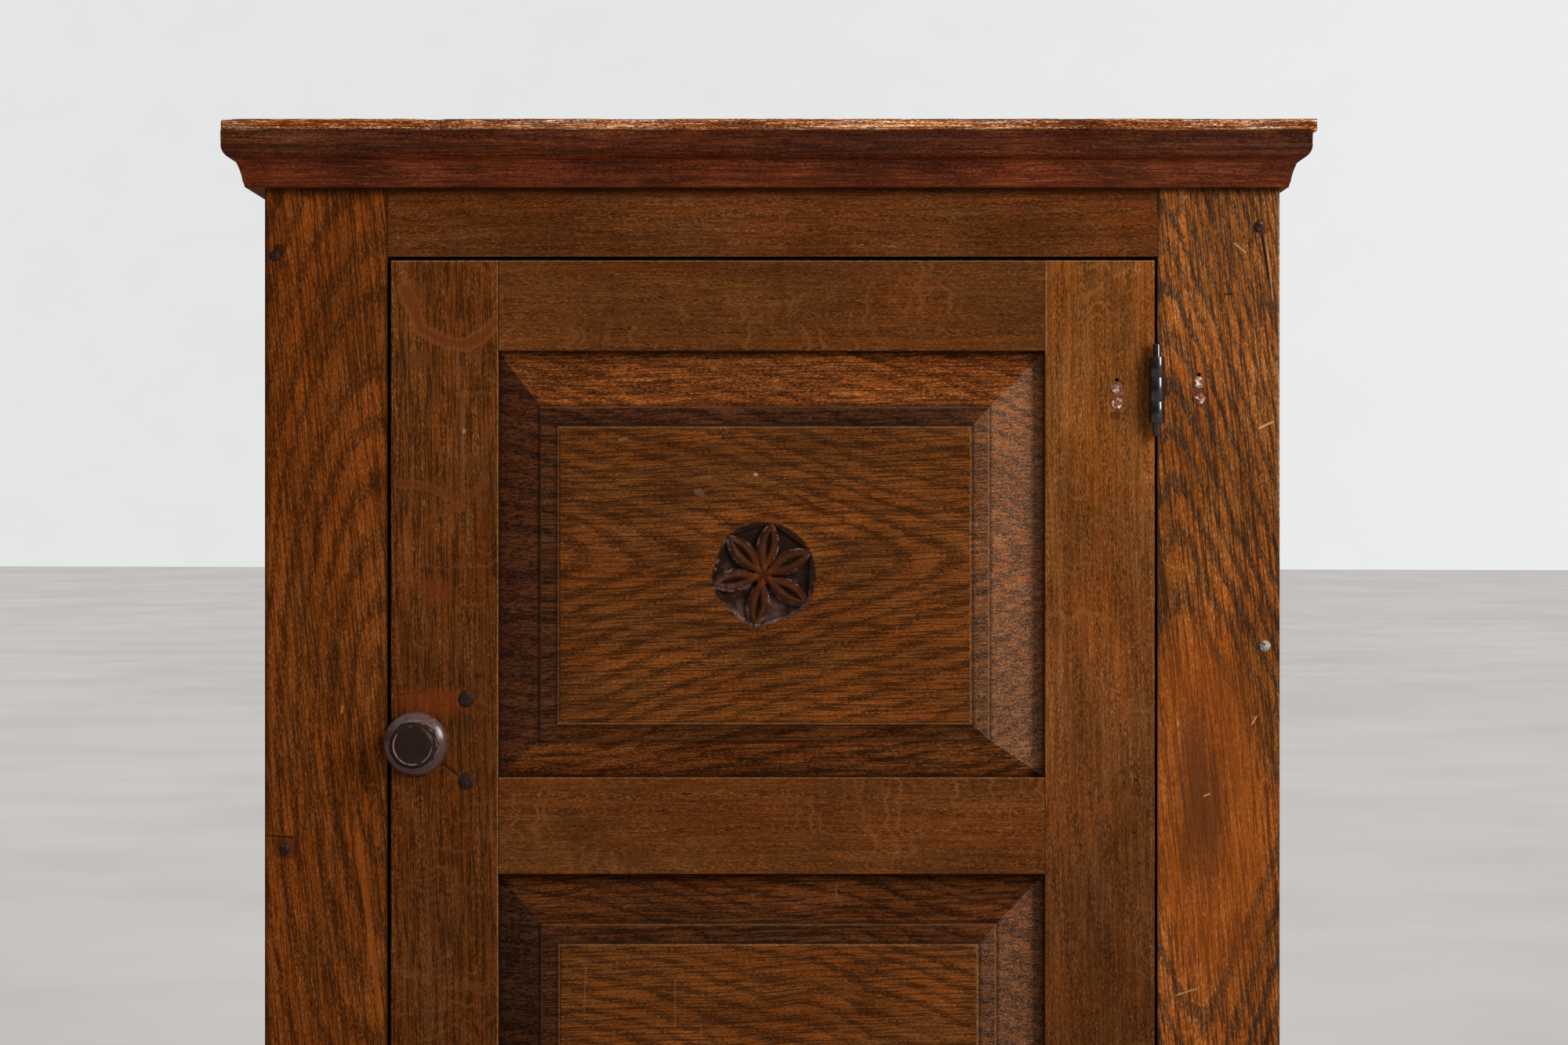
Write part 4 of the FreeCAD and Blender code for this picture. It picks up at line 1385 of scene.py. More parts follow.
@dataclass
class Assembly:
    """A part of the cupboard that dresses its CAD nodes and builds its own pieces.

    Attributes:
        frame: the loaded frame.
    """

    frame: dict[str, Any]

    @property
    def nodes(self) -> dict[str, bpy.types.Object]:
        """The CAD nodes by name."""
        return self.frame["nodes"]

    def dress(self, node: str, finish: bpy.types.Material, arris: float = 0.0) -> None:
        """Give a CAD node its finish.

        Args:
            node: the node's name.
            finish: its material.
            arris: width of the rounding of its arrises, or 0 for none.
        """
        piece = self.nodes[node]
        piece.data.materials.clear()
        piece.data.materials.append(finish)
        if arris:
            soften(piece, arris)
        LOG.info("dressed %s", node)

    def build(self) -> None:
        """Build and dress everything."""
        raise NotImplementedError


FRAME_LEFT = Tones((78, 33, 6), (95, 45, 11), (108, 54, 16), (120, 63, 23), (142, 80, 38), (66, 33, 12))
FRAME_RIGHT = Tones(
    (84, 41, 9), (106, 54, 16), (122, 64, 22), (140, 79, 32), (172, 113, 62), (62, 40, 24), (188, 150, 116)
)
FRAME_RAIL = Tones((68, 30, 8), (80, 39, 13), (89, 46, 18), (98, 54, 25), (115, 70, 39), (62, 35, 17))
DOOR_KNOB = Tones((74, 33, 6), (85, 43, 13), (95, 51, 20), (106, 60, 26), (127, 77, 40), (62, 33, 10))
DOOR_HINGE = Tones((84, 42, 11), (102, 55, 20), (116, 66, 27), (128, 76, 34), (148, 94, 52), (78, 46, 19))
DOOR_RAIL = Tones((70, 32, 10), (81, 41, 16), (90, 48, 19), (99, 55, 23), (115, 69, 34), (66, 36, 16))
PANEL = Tones((70, 32, 11), (91, 47, 17), (104, 56, 22), (116, 66, 28), (135, 82, 42), (57, 31, 14))
CORNICE = Tones(
    (59, 20, 7), (81, 34, 14), (102, 44, 18), (115, 54, 26), (140, 80, 52), (66, 27, 14), (199, 138, 99)
)
TOP = Tones((94, 40, 12), (132, 68, 30), (166, 100, 58), (204, 146, 102), (248, 212, 182), (88, 46, 24))
SIDE = Tones((66, 30, 8), (84, 42, 13), (97, 50, 18), (109, 58, 23), (126, 73, 34), (60, 38, 20))
INSIDE = Tones(
    (92, 64, 38),
    (120, 88, 56),
    (138, 104, 68),
    (154, 120, 84),
    (178, 146, 108),
    (96, 70, 46),
    worn=(170, 140, 104),
    dirt=(70, 52, 36),
)


LEFT_MARKS = (
    Mark(-0.3534, 0.5548, 9.0, 8.0, 0.0, (42, 22, 10), 0.55, 0.5),
    Mark(-0.3574, 0.5634, 10.0, 0.7, -4.0, (30, 14, 6), 0.8, 0.3, -0.1),
    Mark(-0.3127, 0.6564, 3.0, 1.0, 84.0, (158, 104, 60), 0.7, 0.3),
    Mark(-0.3592, 0.992, 4.0, 5.0, 0.0, (34, 16, 8), 0.8, 0.5),
    Mark(-0.2926, 0.4974, 85.0, 2.4, 97.0, (146, 76, 26), 0.45, 0.6),
)
RIGHT_MARKS = (
    Mark(0.319, 0.585, 130.0, 44.0, 92.0, (150, 70, 15), 0.34, 0.2, soft=0.35),
    Mark(0.3149, 0.5933, 72.0, 21.0, 90.0, (62, 36, 20), 0.62, 1.1, soft=0.5),
    Mark(0.3603, 1.0092, 5.0, 6.0, 0.0, (70, 40, 30), 0.6, 0.3, -0.5),
    Mark(0.3552, 0.6483, 4.0, 0.6, 60.0, (190, 146, 108), 0.6, 0.3),
    Mark(0.3207, 0.5938, 3.0, 0.6, 20.0, (190, 146, 108), 0.6, 0.3),
    Mark(0.3064, 0.4498, 9.0, 0.7, 18.0, (176, 130, 92), 0.5, 0.5),
    Mark(0.3362, 0.9605, 3.0, 0.7, 4.0, (40, 20, 12), 0.85, 0.3, -0.2),
    Mark(0.3638, 0.8646, 6.0, 0.8, 24.0, (196, 150, 110), 0.6, 0.4),
    Mark(0.3448, 0.9943, 6.0, 0.7, 140.0, (190, 146, 108), 0.5, 0.4),
    Mark(0.3133, 0.8905, 4.5, 6.0, 0.0, (92, 46, 26), 0.75, 0.25, -0.2, gloss=-0.1),
)
KNOB_SIDE_MARKS = (
    Mark(-0.2565, 0.9621, 6.0, 8.0, 0.0, (98, 50, 22), 0.5, 0.7),
    Mark(-0.2565, 0.9132, 9.0, 6.0, 0.0, (94, 46, 22), 0.6, 0.6),
    Mark(-0.2278, 0.9042, 5.0, 4.0, 0.0, (104, 56, 26), 0.5, 0.7),
    Mark(-0.2163, 0.8755, 2.4, 2.4, 0.0, (122, 66, 28), 0.5, 0.6),
    Mark(-0.2278, 0.8044, 5.0, 4.0, 0.0, (110, 58, 26), 0.5, 0.7),
    Mark(-0.2444, 0.7424, 14.0, 9.0, 0.0, (98, 46, 22), 0.5, 0.7),
    Mark(-0.2129, 0.681, 2.6, 2.6, 0.0, (44, 20, 8), 0.7, 0.4),
    Mark(-0.245, 0.6615, 28.0, 10.0, 0.0, (122, 52, 18), 0.42, 0.9, soft=0.5),
    Mark(-0.2329, 0.6122, 8.0, 1.3, -37.0, (44, 20, 8), 0.75, 0.3, -0.15),
    Mark(-0.2232, 0.8601, 1.3, 1.6, 0.0, (150, 130, 112), 0.7, 0.5),
    Mark(-0.224, 0.8653, 22.0, 0.9, 90.0, (124, 88, 56), 0.3, 1.6),
    Mark(-0.2212, 0.7914, 18.0, 0.9, 90.0, (124, 88, 56), 0.3, 1.7),
    Mark(-0.253, 0.8073, 1.4, 2.2, 0.0, (126, 92, 62), 0.5, 0.8),
)
KNOB_SIDE_STROKES = (
    Stroke(
        (
            (-0.2668, 0.9644),
            (-0.2594, 0.9478),
            (-0.2553, 0.9346),
            (-0.2370, 0.9258),
            (-0.2220, 0.9233),
            (-0.2088, 0.9307),
            (-0.2002, 0.9399),
        ),
        5.4 * MM,
        (84, 40, 19),
        (118, 64, 28),
        0.55,
    ),
    Stroke(
        (
            (-0.2702, 0.8216),
            (-0.2553, 0.8205),
            (-0.2404, 0.8153),
            (-0.2278, 0.8101),
            (-0.2163, 0.8153),
            (-0.2071, 0.8251),
        ),
        3.6 * MM,
        (82, 40, 20),
        (112, 60, 27),
        0.38,
    ),
    Stroke(((-0.2737, 0.6667), (-0.253, 0.6692), (-0.2329, 0.6667)), 1.8 * MM, (66, 24, 8), (92, 42, 16), 0.7),
)
RIGHT_STROKES = (
    Stroke(
        ((0.3598, 1.0080), (0.3621, 0.9960), (0.3640, 0.9840), (0.3655, 0.9720)),
        1.1 * MM,
        (30, 15, 8),
        (70, 36, 20),
        0.9,
        0.5,
        -0.5,
    ),
    Stroke(
        ((0.3630, 1.0040), (0.3660, 0.9830), (0.3690, 0.9560)), 0.7 * MM, (200, 152, 114), (160, 108, 72), 0.22, 1.4
    ),
)
HINGE_SIDE_MARKS = (
    Mark(0.2691, 0.6047, 1.2, 1.2, 0.0, (40, 20, 10), 0.8, 0.3),
    Mark(0.2668, 0.5663, 1.2, 1.2, 0.0, (40, 20, 10), 0.8, 0.3),
    Mark(0.2708, 0.5439, 1.1, 1.1, 0.0, (40, 20, 10), 0.8, 0.3),
    Mark(0.2771, 0.5428, 1.1, 1.1, 0.0, (40, 20, 10), 0.8, 0.3),
    Mark(0.253, 0.8715, 4.0, 3.0, 0.0, (66, 34, 16), 0.7, 0.3, -0.2),
    Mark(0.2565, 0.8887, 3.2, 2.4, 0.0, (120, 88, 70), 0.5, 0.3),
)
MIDDLE_MARKS = (
    Mark(-0.0602, 0.5944, 5.0, 0.9, 0.0, (38, 18, 8), 0.8, 0.3, -0.1),
    Mark(-0.0075, 0.5692, 1.0, 1.0, 0.0, (38, 18, 8), 0.8, 0.3),
    Mark(-0.1096, 0.5542, 1.0, 1.0, 0.0, (38, 18, 8), 0.8, 0.3),
)
UPPER_MARKS = (
    Mark(0.0304, 0.8061, 14.0, 1.5, -31.0, (70, 26, 12), 0.8, 1.1, -0.3),
    Mark(0.0212, 0.813, 9.0, 0.6, -24.0, (60, 26, 12), 0.6, 1.0),
    Mark(-0.0436, 0.8497, 8.0, 1.5, -40.0, (74, 42, 24), 0.6, 0.5),
    Mark(-0.0097, 0.8285, 2.0, 1.2, 0.0, (180, 150, 120), 0.5, 0.6),
    Mark(-0.0511, 0.8153, 4.0, 2.6, -20.0, (120, 84, 60), 0.45, 0.8, soft=0.5),
    Mark(-0.1067, 0.8543, 4.0, 1.2, 10.0, (150, 108, 72), 0.4, 0.5),
)
LOWER_MARKS = (
    Mark(-0.0688, 0.4412, 20.0, 0.6, 90.0, (136, 92, 58), 0.25, 0.6),
    Mark(-0.1348, 0.4515, 22.0, 0.6, 88.0, (136, 92, 58), 0.22, 0.6),
    Mark(-0.0499, 0.4206, 6.0, 0.6, 90.0, (136, 92, 58), 0.25, 0.6),
    Mark(0.0494, 0.5238, 6.0, 0.6, 90.0, (136, 92, 58), 0.25, 0.6),
)
# Slopes and bands of the two raised panels, each left, right, bottom, top, each tinted for the
# light and shade painted on the side that it faces, the right ones with painted glints; the
# bands are darker than the field.
UPPER_SLOPES = (
    Zone((0.55, 0.60, 1.15), sharp=-0.35),
    Zone((1.22, 1.34, 1.55), wax=0.25, painted_glint=0.55),
    Zone((0.78, 0.74, 0.80), sharp=0.3),
    Zone((1.20, 1.08, 0.95), wax=0.05, sharp=0.5),
)
UPPER_BANDS = (
    Zone((0.50, 0.57, 1.15), sharp=-0.1),
    Zone((0.92, 1.05, 1.4), wax=0.1, painted_glint=0.35),
    Zone((0.46, 0.48, 0.6)),
    Zone((0.41, 0.45, 0.82), wax=0.06),
)
LOWER_SLOPES = (
    Zone((0.34, 0.42, 0.85)),
    Zone((0.82, 0.86, 1.1), wax=0.1, painted_glint=0.4),
    Zone((0.66, 0.62, 0.6)),
    Zone((0.55, 0.55, 0.7)),
)
LOWER_BANDS = (
    Zone((0.42, 0.5, 0.95)),
    Zone((0.70, 0.76, 1.15), wax=0.05, painted_glint=0.3),
    Zone((0.46, 0.48, 0.6)),
    Zone((0.5, 0.53, 0.8)),
)
BLACK_IRON = Metal(
    "iron_black",
    (38, 31, 29),
    (110, 98, 92),
    (46, 32, 26),
    bright_share=0.06,
    rust_share=0.10,
    grain=500.0,
    relief=0.02,
    gloss=0.26,
    coat=0.8,
)
# The bright colour of the hinge nails paints glints on their heads.
NAIL_IRON = Metal(
    "iron_nails",
    (122, 74, 56),
    (232, 196, 178),
    (112, 62, 44),
    bright_share=0.45,
    rust_share=0.5,
    relief=0.4,
    gloss=0.25,
)
OLD_IRON = Metal(
    "iron_board_nails",
    (50, 27, 20),
    (112, 84, 72),
    (60, 30, 20),
    bright_share=0.12,
    rust_share=0.4,
    grain=600.0,
    relief=0.2,
    gloss=0.4,
    clean=(0.3615, 0.704),
)
DARK_IRON = replace(
    OLD_IRON,
    name="iron_rivets",
    dark=(46, 29, 23),
    bright=(72, 52, 44),
    rust=(52, 31, 22),
    bright_share=0.15,
    rust_share=0.6,
    relief=0.1,
    gloss=0.5,
    clean=None,
)
# Lines on the front: the moulding's foot, under which its shadow is painted, and the door's top
# edge and the two sides of the panels' openings, where wear and dirt collect.
UNDER_CORNICE = 1.038
DOOR_TOP = 0.985
LIGHT_LEFT = -0.1987
LIGHT_RIGHT = 0.2023
# The large oval figure of the right stile.
RIGHT_FIGURE = Figure(
    along=0.585,
    across=0.3095,
    gap=0.0503,
    sweep=-0.06,
    wave=0.007,
    feather=0.40,
    soft=0.36,
    uneven=0.4,
    slope=0.332,
    tip=0.010,
    blunt=0.03,
    crowd=1.8,
    calm=0.088,
)


@dataclass
class FaceFrame(Assembly):
    """Two stiles and two rails of the front.

    Attributes:
        arris: width of the worn rounding.
    """

    arris: float = 0.9 * MM

    def build(self) -> None:
        """Dress the stiles and rails."""
        low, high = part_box("frame_stile_left")
        left = Oak(
            "oak_stile_left",
            Lie.UPRIGHT_FRONT,
            FRAME_LEFT,
            Figure(along=0.64, across=-0.283, stretch=3.7, gap=0.0118, feather=0.5),
            seed=3.0,
            band=0.8,
            lean=-0.10,
            crisp=1.7,
            # the seam under the moulding is its painted shadow
            dirty=(Seam(0, low.x, 6 * MM), Seam(0, high.x, 2.5 * MM), Seam(2, UNDER_CORNICE, 9 * MM)),
            face_only=True,
            marks=LEFT_MARKS,
        )
        low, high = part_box("frame_stile_right")
        right = Oak(
            "oak_stile_right",
            Lie.UPRIGHT_FRONT,
            FRAME_RIGHT,
            RIGHT_FIGURE,
            seed=8.0,
            lean=-0.10,
            band=0.88,
            crisp=1.5,
            hairs=0.8,
            wax=0.05,
            # painted sheen: the right stile lighter and greyer towards the top
            fades=(Fade(2, 0.78, 0.95, (1.20, 1.34, 1.60)),),
            # the seam under the moulding is its painted shadow
            dirty=(Seam(0, low.x, 2.5 * MM), Seam(2, UNDER_CORNICE, 6 * MM)),
            worn=(Seam(0, high.x, 2.2 * MM, 0.80, 1.03),),
            worn_amount=0.5,
            marks=RIGHT_MARKS,
            strokes=RIGHT_STROKES,
        )
        rail = Oak(
            "oak_frame_rail",
            Lie.LEVEL_FRONT,
            FRAME_RAIL,
            Figure(along=0.2, across=0.90, stretch=14.0, gap=0.010, wave=0.010, reach=0.12),
            seed=5.0,
            band=0.30,
            hairs=0.4,
            # the seam under the moulding is its painted shadow
            dirty=(Seam(2, UNDER_CORNICE, 7 * MM),),
            worn=(Seam(2, 0.988, 1.2 * MM),),
            worn_amount=0.35,
        )
        foot = Oak(
            "oak_bottom_rail",
            Lie.LEVEL_FRONT,
            FRAME_RAIL,
            Figure(along=0.0, across=0.02, stretch=12.0, gap=0.012, wave=0.010, reach=0.12),
            seed=6.0,
            band=0.40,
            dirty=(Seam(2, 0.072, 8 * MM),),
        )
        for node, oak in zip(("stile_left", "stile_right", "rail_top", "rail_bottom"), (left, right, rail, foot)):
            self.dress(f"frame_{node}", oak.material(), self.arris)


@dataclass
class Door(Assembly):
    """The stiles, rails and raised panels of the door.

    Attributes:
        arris: width of the worn rounding.
        panel_arris: that of the lower panel.
        rosette: the carved rosette's radius.
        band: widths of a panel's four bands.
    """

    arris: float = 0.8 * MM
    panel_arris: float = 0.35 * MM
    rosette: float = 40.0 * MM
    band: Rect = Rect(13.0 * MM, 11.8 * MM, 13.0 * MM, 14.6 * MM)

    def _panel(
        self,
        node: str,
        seed: float,
        across: float,
        light: Rect,
        slope: Rect,
        zones: tuple[Sequence[Zone], Sequence[Zone]],
        marks: tuple[Mark, ...],
        carved: Optional[Carving] = None,
    ) -> None:
        """Dress one raised panel.

        Args:
            node: its node.
            seed: offset of its noises.
            across: height of the middle of its rings.
            light: the opening that it fills.
            slope: widths of its four slopes.
            zones: how its slopes and its bands differ from its field, with their painted light and shade.
            marks: its marks.
            carved: its rosette.
        """
        step = light.inset(slope)
        oak = Oak(
            f"oak_{node}",
            Lie.LEVEL_FRONT,
            PANEL,
            Figure(0.0, across, gap=0.0135, wave=0.016, reach=0.10, feather=0.6, dip=1.2, slope=0.34, tip=0.014),
            seed=seed,
            band=0.75,
            lean=0.03,
            raised=Raised(light, step, step.inset(self.band), *zones),
            marks=marks,
            carved=carved,
        )
        self.dress(node, oak.material(), 0.0 if carved else self.panel_arris)

    def build(self) -> None:
        """Dress the frame of the door and its panels."""
        knob_side = Oak(
            "oak_door_stile_knob",
            Lie.UPRIGHT_FRONT,
            DOOR_KNOB,
            Figure(along=0.6, across=-0.40, stretch=20.0, gap=0.020, wave=0.010),
            seed=11.0,
            band=0.20,
            lean=-0.02,
            rays=0.3,
            crisp=1.5,
            # darker towards the bottom: painted shade, with some of the finish
            fades=(Fade(2, 0.95, 0.62, (0.80, 0.78, 0.84)),),
            worn=(Seam(0, LIGHT_LEFT, 0.9 * MM), Seam(2, DOOR_TOP, 1.6 * MM)),
            marks=KNOB_SIDE_MARKS,
            strokes=KNOB_SIDE_STROKES,
        )
        self.dress("door_stile_knob_side", knob_side.material(), self.arris)
        hinge_side = Oak(
            "oak_door_stile_hinge",
            Lie.UPRIGHT_FRONT,
            DOOR_HINGE,
            Figure(along=0.9, across=0.30, stretch=5.0, gap=0.016, wave=0.014),
            seed=13.0,
            band=0.30,
            lean=-0.02,
            rays=0.3,
            crisp=1.5,
            hairs=0.4,
            # darker towards the bottom: painted shade, with some of the finish
            fades=(Fade(2, 0.92, 0.66, (0.78, 0.77, 0.84)), Fade(2, 0.66, 0.50, (0.66, 0.67, 0.80))),
            worn=(Seam(0, 0.2021, 2.2 * MM, 0.919, DOOR_TOP), Seam(2, DOOR_TOP, 1.2 * MM)),
            worn_amount=0.9,
            marks=HINGE_SIDE_MARKS,
        )
        self.dress("door_stile_hinge_side", hinge_side.material(), self.arris)
        for number, node in enumerate(("door_rail_top", "door_rail_middle", "door_rail_bottom")):
            rail = Oak(
                f"oak_{node}",
                Lie.LEVEL_FRONT,
                DOOR_RAIL,
                Figure(0.1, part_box(node)[0].z - 0.05, stretch=16.0, gap=0.012, reach=0.15),
                seed=17.0 + 3.0 * number,
                band=0.20,
                hairs=0.35,
                rays=0.5,
                dirty=(Seam(0, LIGHT_LEFT, 1.2 * MM), Seam(0, LIGHT_RIGHT, 1.2 * MM)),
                worn=(Seam(2, DOOR_TOP, 1.2 * MM), Seam(2, 0.60625, 0.9 * MM), Seam(2, 0.223, 0.9 * MM)),
                marks=MIDDLE_MARKS if number == 1 else (),
            )
            self.dress(node, rail.material(), self.arris)
        self._panel(
            "door_panel_upper",
            31.0,
            0.768,
            Rect(LIGHT_LEFT, 0.60625, LIGHT_RIGHT, 0.919),
            Rect(31.0 * MM, 27.5 * MM, 41.0 * MM, 41.0 * MM),
            (UPPER_SLOPES, UPPER_BANDS),
            UPPER_MARKS,
            Carving(-0.0044, 0.7548, self.rosette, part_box("door_panel_upper")[0].y),
        )
        self._panel(
            "door_panel_lower",
            37.0,
            0.375,
            Rect(LIGHT_LEFT, 0.223, LIGHT_RIGHT, 0.53575),
            Rect(31.5 * MM, 30.0 * MM, 36.0 * MM, 37.0 * MM),
            (LOWER_SLOPES, LOWER_BANDS),
            LOWER_MARKS,
        )


@dataclass
class Carcass(Assembly):
    """Sides, back, bottom, shelves and the strips inside.

    Attributes:
        arris: width of the sides' worn rounding.
        inner_arris: that of the thin boards and strips.
        shelf_arris: that of the shelves.
        back_count: how many boards the back has.
        back_spread: how much they differ in lightness.
    """

    arris: float = 0.8 * MM
    inner_arris: float = 0.5 * MM
    shelf_arris: float = 0.7 * MM
    back_count: int = 5
    back_spread: float = 0.16

    @staticmethod
    def _bare(name: str, lie: Lie, figure: Figure, seed: float, **more: Any) -> bpy.types.Material:
        """Make the dry, unwaxed oak of the inside.

        Args:
            name: what the material's name ends with.
            lie: how the boards lie.
            figure: their rings.
            seed: offset of their noises.
            more: further fields of the finish.

        Returns:
            The material.
        """
        settings = {"band": 0.34, "gloss": 0.6, "specular": 0.2, "stain": 0.5, **more}
        return Oak(f"oak_{name}", lie, INSIDE, figure, seed, **settings).material()

    def _back(self) -> None:
        """Dress the boards of the back, each a little lighter or darker than the next."""
        for number in range(1, self.back_count + 1):
            node = f"back_board_{number}"
            low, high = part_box(node)
            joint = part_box(f"back_board_{number + 1}")[0].x if number < self.back_count else high.x
            light = 1.0 + self.back_spread * math.sin(2.4 * number)
            finish = self._bare(
                node,
                Lie.UPRIGHT_FRONT,
                Figure(along=0.2 * number, across=(low.x + high.x) / 2, gap=0.018, wave=0.016),
                53.0 + 3.0 * number,
                gloss=0.62,
                dirty=(Seam(0, low.x, 5 * MM), Seam(0, joint, 5 * MM), Seam(2, 0.10, 40 * MM)),
                fades=(Fade(2, -1.0, -0.9, (light, light, light * 0.97)),),
            )
            self.dress(node, finish, self.inner_arris)

    def build(self) -> None:
        """Dress every board behind the front."""
        for number, node in enumerate(sorted(name for name in self.nodes if name.startswith("side_board"))):
            low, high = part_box(node)
            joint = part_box(node.replace("front", "rear"))[0].y
            oak = Oak(
                f"oak_{node}",
                Lie.UPRIGHT_SIDE,
                SIDE,
                Figure(along=0.3 + 0.2 * number, across=(low.y + high.y) / 2, stretch=7.0, gap=0.017, wave=0.016),
                seed=41.0 + 3.0 * number,
                dirty=(Seam(2, 0.0, 30 * MM), Seam(2, 1.045, 10 * MM), Seam(1, joint, 4 * MM)),
            )
            self.dress(node, oak.material(), self.arris)
        self._back()
        shelf_figure = Figure(along=0.05, across=-0.02, stretch=9.0, gap=0.020, wave=0.018)
        shelves = self._bare("shelves", Lie.LEVEL_TOP, shelf_figure, 71.0)
        strip_figure = Figure(along=0.05, across=0.90, stretch=12.0, gap=0.015, wave=0.010)
        strips = self._bare("strips", Lie.LEVEL_FRONT, strip_figure, 73.0)
        battens = self._bare("battens", Lie.DEEP_SIDE, replace(strip_figure, across=0.60), 79.0)
        for node in ("shelf_lower", "shelf_upper", "bottom_board"):
            self.dress(node, shelves, self.shelf_arris)
        for node in ("back_rail", "door_stop"):
            self.dress(node, strips, self.inner_arris)
        for node in (name for name in self.nodes if name.startswith("shelf_batten")):
            self.dress(node, battens, self.inner_arris)


@dataclass
class Crown(Assembly):
    """The cornice moulding and the two planks of the top.

    Attributes:
        arris: width of the other boards' rounding.
        round_front: rounding of the front plank's worn arrises.
        wear: how deep the front edge is worn.
        reach: how far back the wear goes.
        slices: how many slices the plank is cut into for it.
        chip_place: X of the chip in the front edge.
        chip_length: half its length.
        chip_depth: its depth.
        left_wear: how far in the rounded left end reaches.
        left_drop: how far its upper arris drops.
        left_rise: how far its lower arris rises.
    """

    arris: float = 0.5 * MM
    round_front: float = 2.4 * MM
    wear: float = 1.3 * MM
    reach: float = 9.0 * MM
    slices: int = 160
    chip_place: float = -244.0 * MM
    chip_length: float = 6.0 * MM
    chip_depth: float = 2.6 * MM
    left_wear: float = 14.0 * MM
    left_drop: float = 2.2 * MM
    left_rise: float = 0.8 * MM

    def _worn(self, place: Vector, low: Vector, high: Vector) -> Vector:
        """Move one point of the front plank inwards as wear has.

        Args:
            place: the point.
            low: the plank's lowest corner.
            high: its highest corner.

        Returns:
            Where the point goes.
        """
        near = max(0.0, 1.0 - (place.y - low.y) / self.reach)
        if near <= 0.0:
            return place
        slow = noise.noise(Vector((place.x * 16.0, 3.0, 1.0)))
        quick = noise.noise(Vector((place.x * 95.0, place.z * 200.0, 7.0)))
        chip = math.exp(-(((place.x - self.chip_place) / self.chip_length) ** 2)) * self.chip_depth
        inward = self.wear * (0.35 + 0.55 * slow + 0.45 * quick) + chip
        share = (place.z - low.z) / (high.z - low.z)
        down = self.wear * (0.45 * max(0.0, slow) + 0.35 * max(0.0, quick)) + 0.5 * chip
        place.y += max(0.0, inward) * near
        place.z -= max(0.0, down) * near * share
        end = max(0.0, 1.0 - (place.x - low.x) / self.left_wear)
        place.z -= self.left_drop * end * end * share * near
        place.z += self.left_rise * end * end * (1.0 - share) * near
        return place

    def _front_plank(self, finish: bpy.types.Material) -> None:
        """Build the front plank with its worn and chipped front edge.

        Args:
            finish: its material.
        """
        low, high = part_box("top_board_front")
        bm = bmesh.new()
        bmesh.ops.create_cube(bm, size=1.0)
        bmesh.ops.scale(bm, verts=bm.verts, vec=high - low)
        bmesh.ops.translate(bm, verts=bm.verts, vec=(low + high) / 2)
        lines = [edge for edge in bm.edges if abs(edge.verts[0].co.x - edge.verts[1].co.x) > 0.1]
        front = [edge for edge in lines if edge.verts[0].co.y < low.y + MM]
        others = [edge for edge in bm.edges if edge not in lines]
        ends = [edge for edge in others if max(vert.co.y for vert in edge.verts) < low.y + MM]
        bmesh.ops.bevel(
            bm,
            geom=[*front, *ends],
            offset=self.round_front,
            segments=4,
            profile=0.5,
            affect="EDGES",
            material=-1,
            clamp_overlap=True,
        )
        slice_width = (high.x - low.x) / self.slices
        cuts = [((low.x + slice_width * step, 0.0, 0.0), (1.0, 0.0, 0.0)) for step in range(1, self.slices)]
        cuts += [((0.0, low.y + self.reach * share, 0.0), (0.0, 1.0, 0.0)) for share in (0.5, 1.0)]
        for spot, normal in cuts:
            geom = [*bm.verts, *bm.edges, *bm.faces]
            bmesh.ops.bisect_plane(bm, geom=geom, dist=0.001 * MM, plane_co=spot, plane_no=normal)
        for vert in bm.verts:
            vert.co = self._worn(vert.co.copy(), low, high)
        plank = settle("worn_front_plank", bm, "carcass", finish)
        smooth = plank.modifiers.new("Normals", "WEIGHTED_NORMAL")
        smooth.keep_sharp = False
        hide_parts("top_board_front")
        LOG.info("built worn_front_plank")

    def build(self) -> None:
        """Dress the moulding and the top."""
        figure = Figure(along=0.0, across=0.80, stretch=20.0, gap=0.012, wave=0.008, reach=0.2)
        front = Oak(
            "oak_cornice_front",
            Lie.LEVEL_FRONT,
            CORNICE,
            figure,
            seed=83.0,
            band=0.34,
            crisp=1.2,
            hairs=0.6,
            grit=0.55,
            blotch=1.0,
            wax=0.10,
            fades=(Fade(2, 1.058, 1.065, (0.57, 0.69, 0.92)),),
        )
        self.dress("cornice_front", front.material(), self.arris)
        for number, node in enumerate(("cornice_left", "cornice_right")):
            seed = 87.0 + 3.0 * number
            side = Oak(f"oak_{node}", Lie.DEEP_SIDE, CORNICE, figure, seed, band=0.20, crisp=1.2, hairs=0.4, wax=0.10)
            self.dress(node, side.material(), self.arris)
        for number, node in enumerate(("top_board_front", "top_board_rear")):
            low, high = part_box(node)
            finish = Oak(
                f"oak_{node}",
                Lie.LEVEL_TOP,
                TOP,
                Figure(along=0.1, across=(low.y + high.y) / 2, stretch=10.0, gap=0.018, wave=0.016),
                seed=91.0 + 3.0 * number,
                band=0.40,
                crisp=1.3,
                fibre=1.0,
                grit=0.9,
                gloss=0.5,
                fades=(Fade(1, -0.214, -0.175, (0.62, 0.64, 0.62)),),
            ).material()
            self.dress(node, finish, self.arris)
            if number == 0:
                self._front_plank(finish)


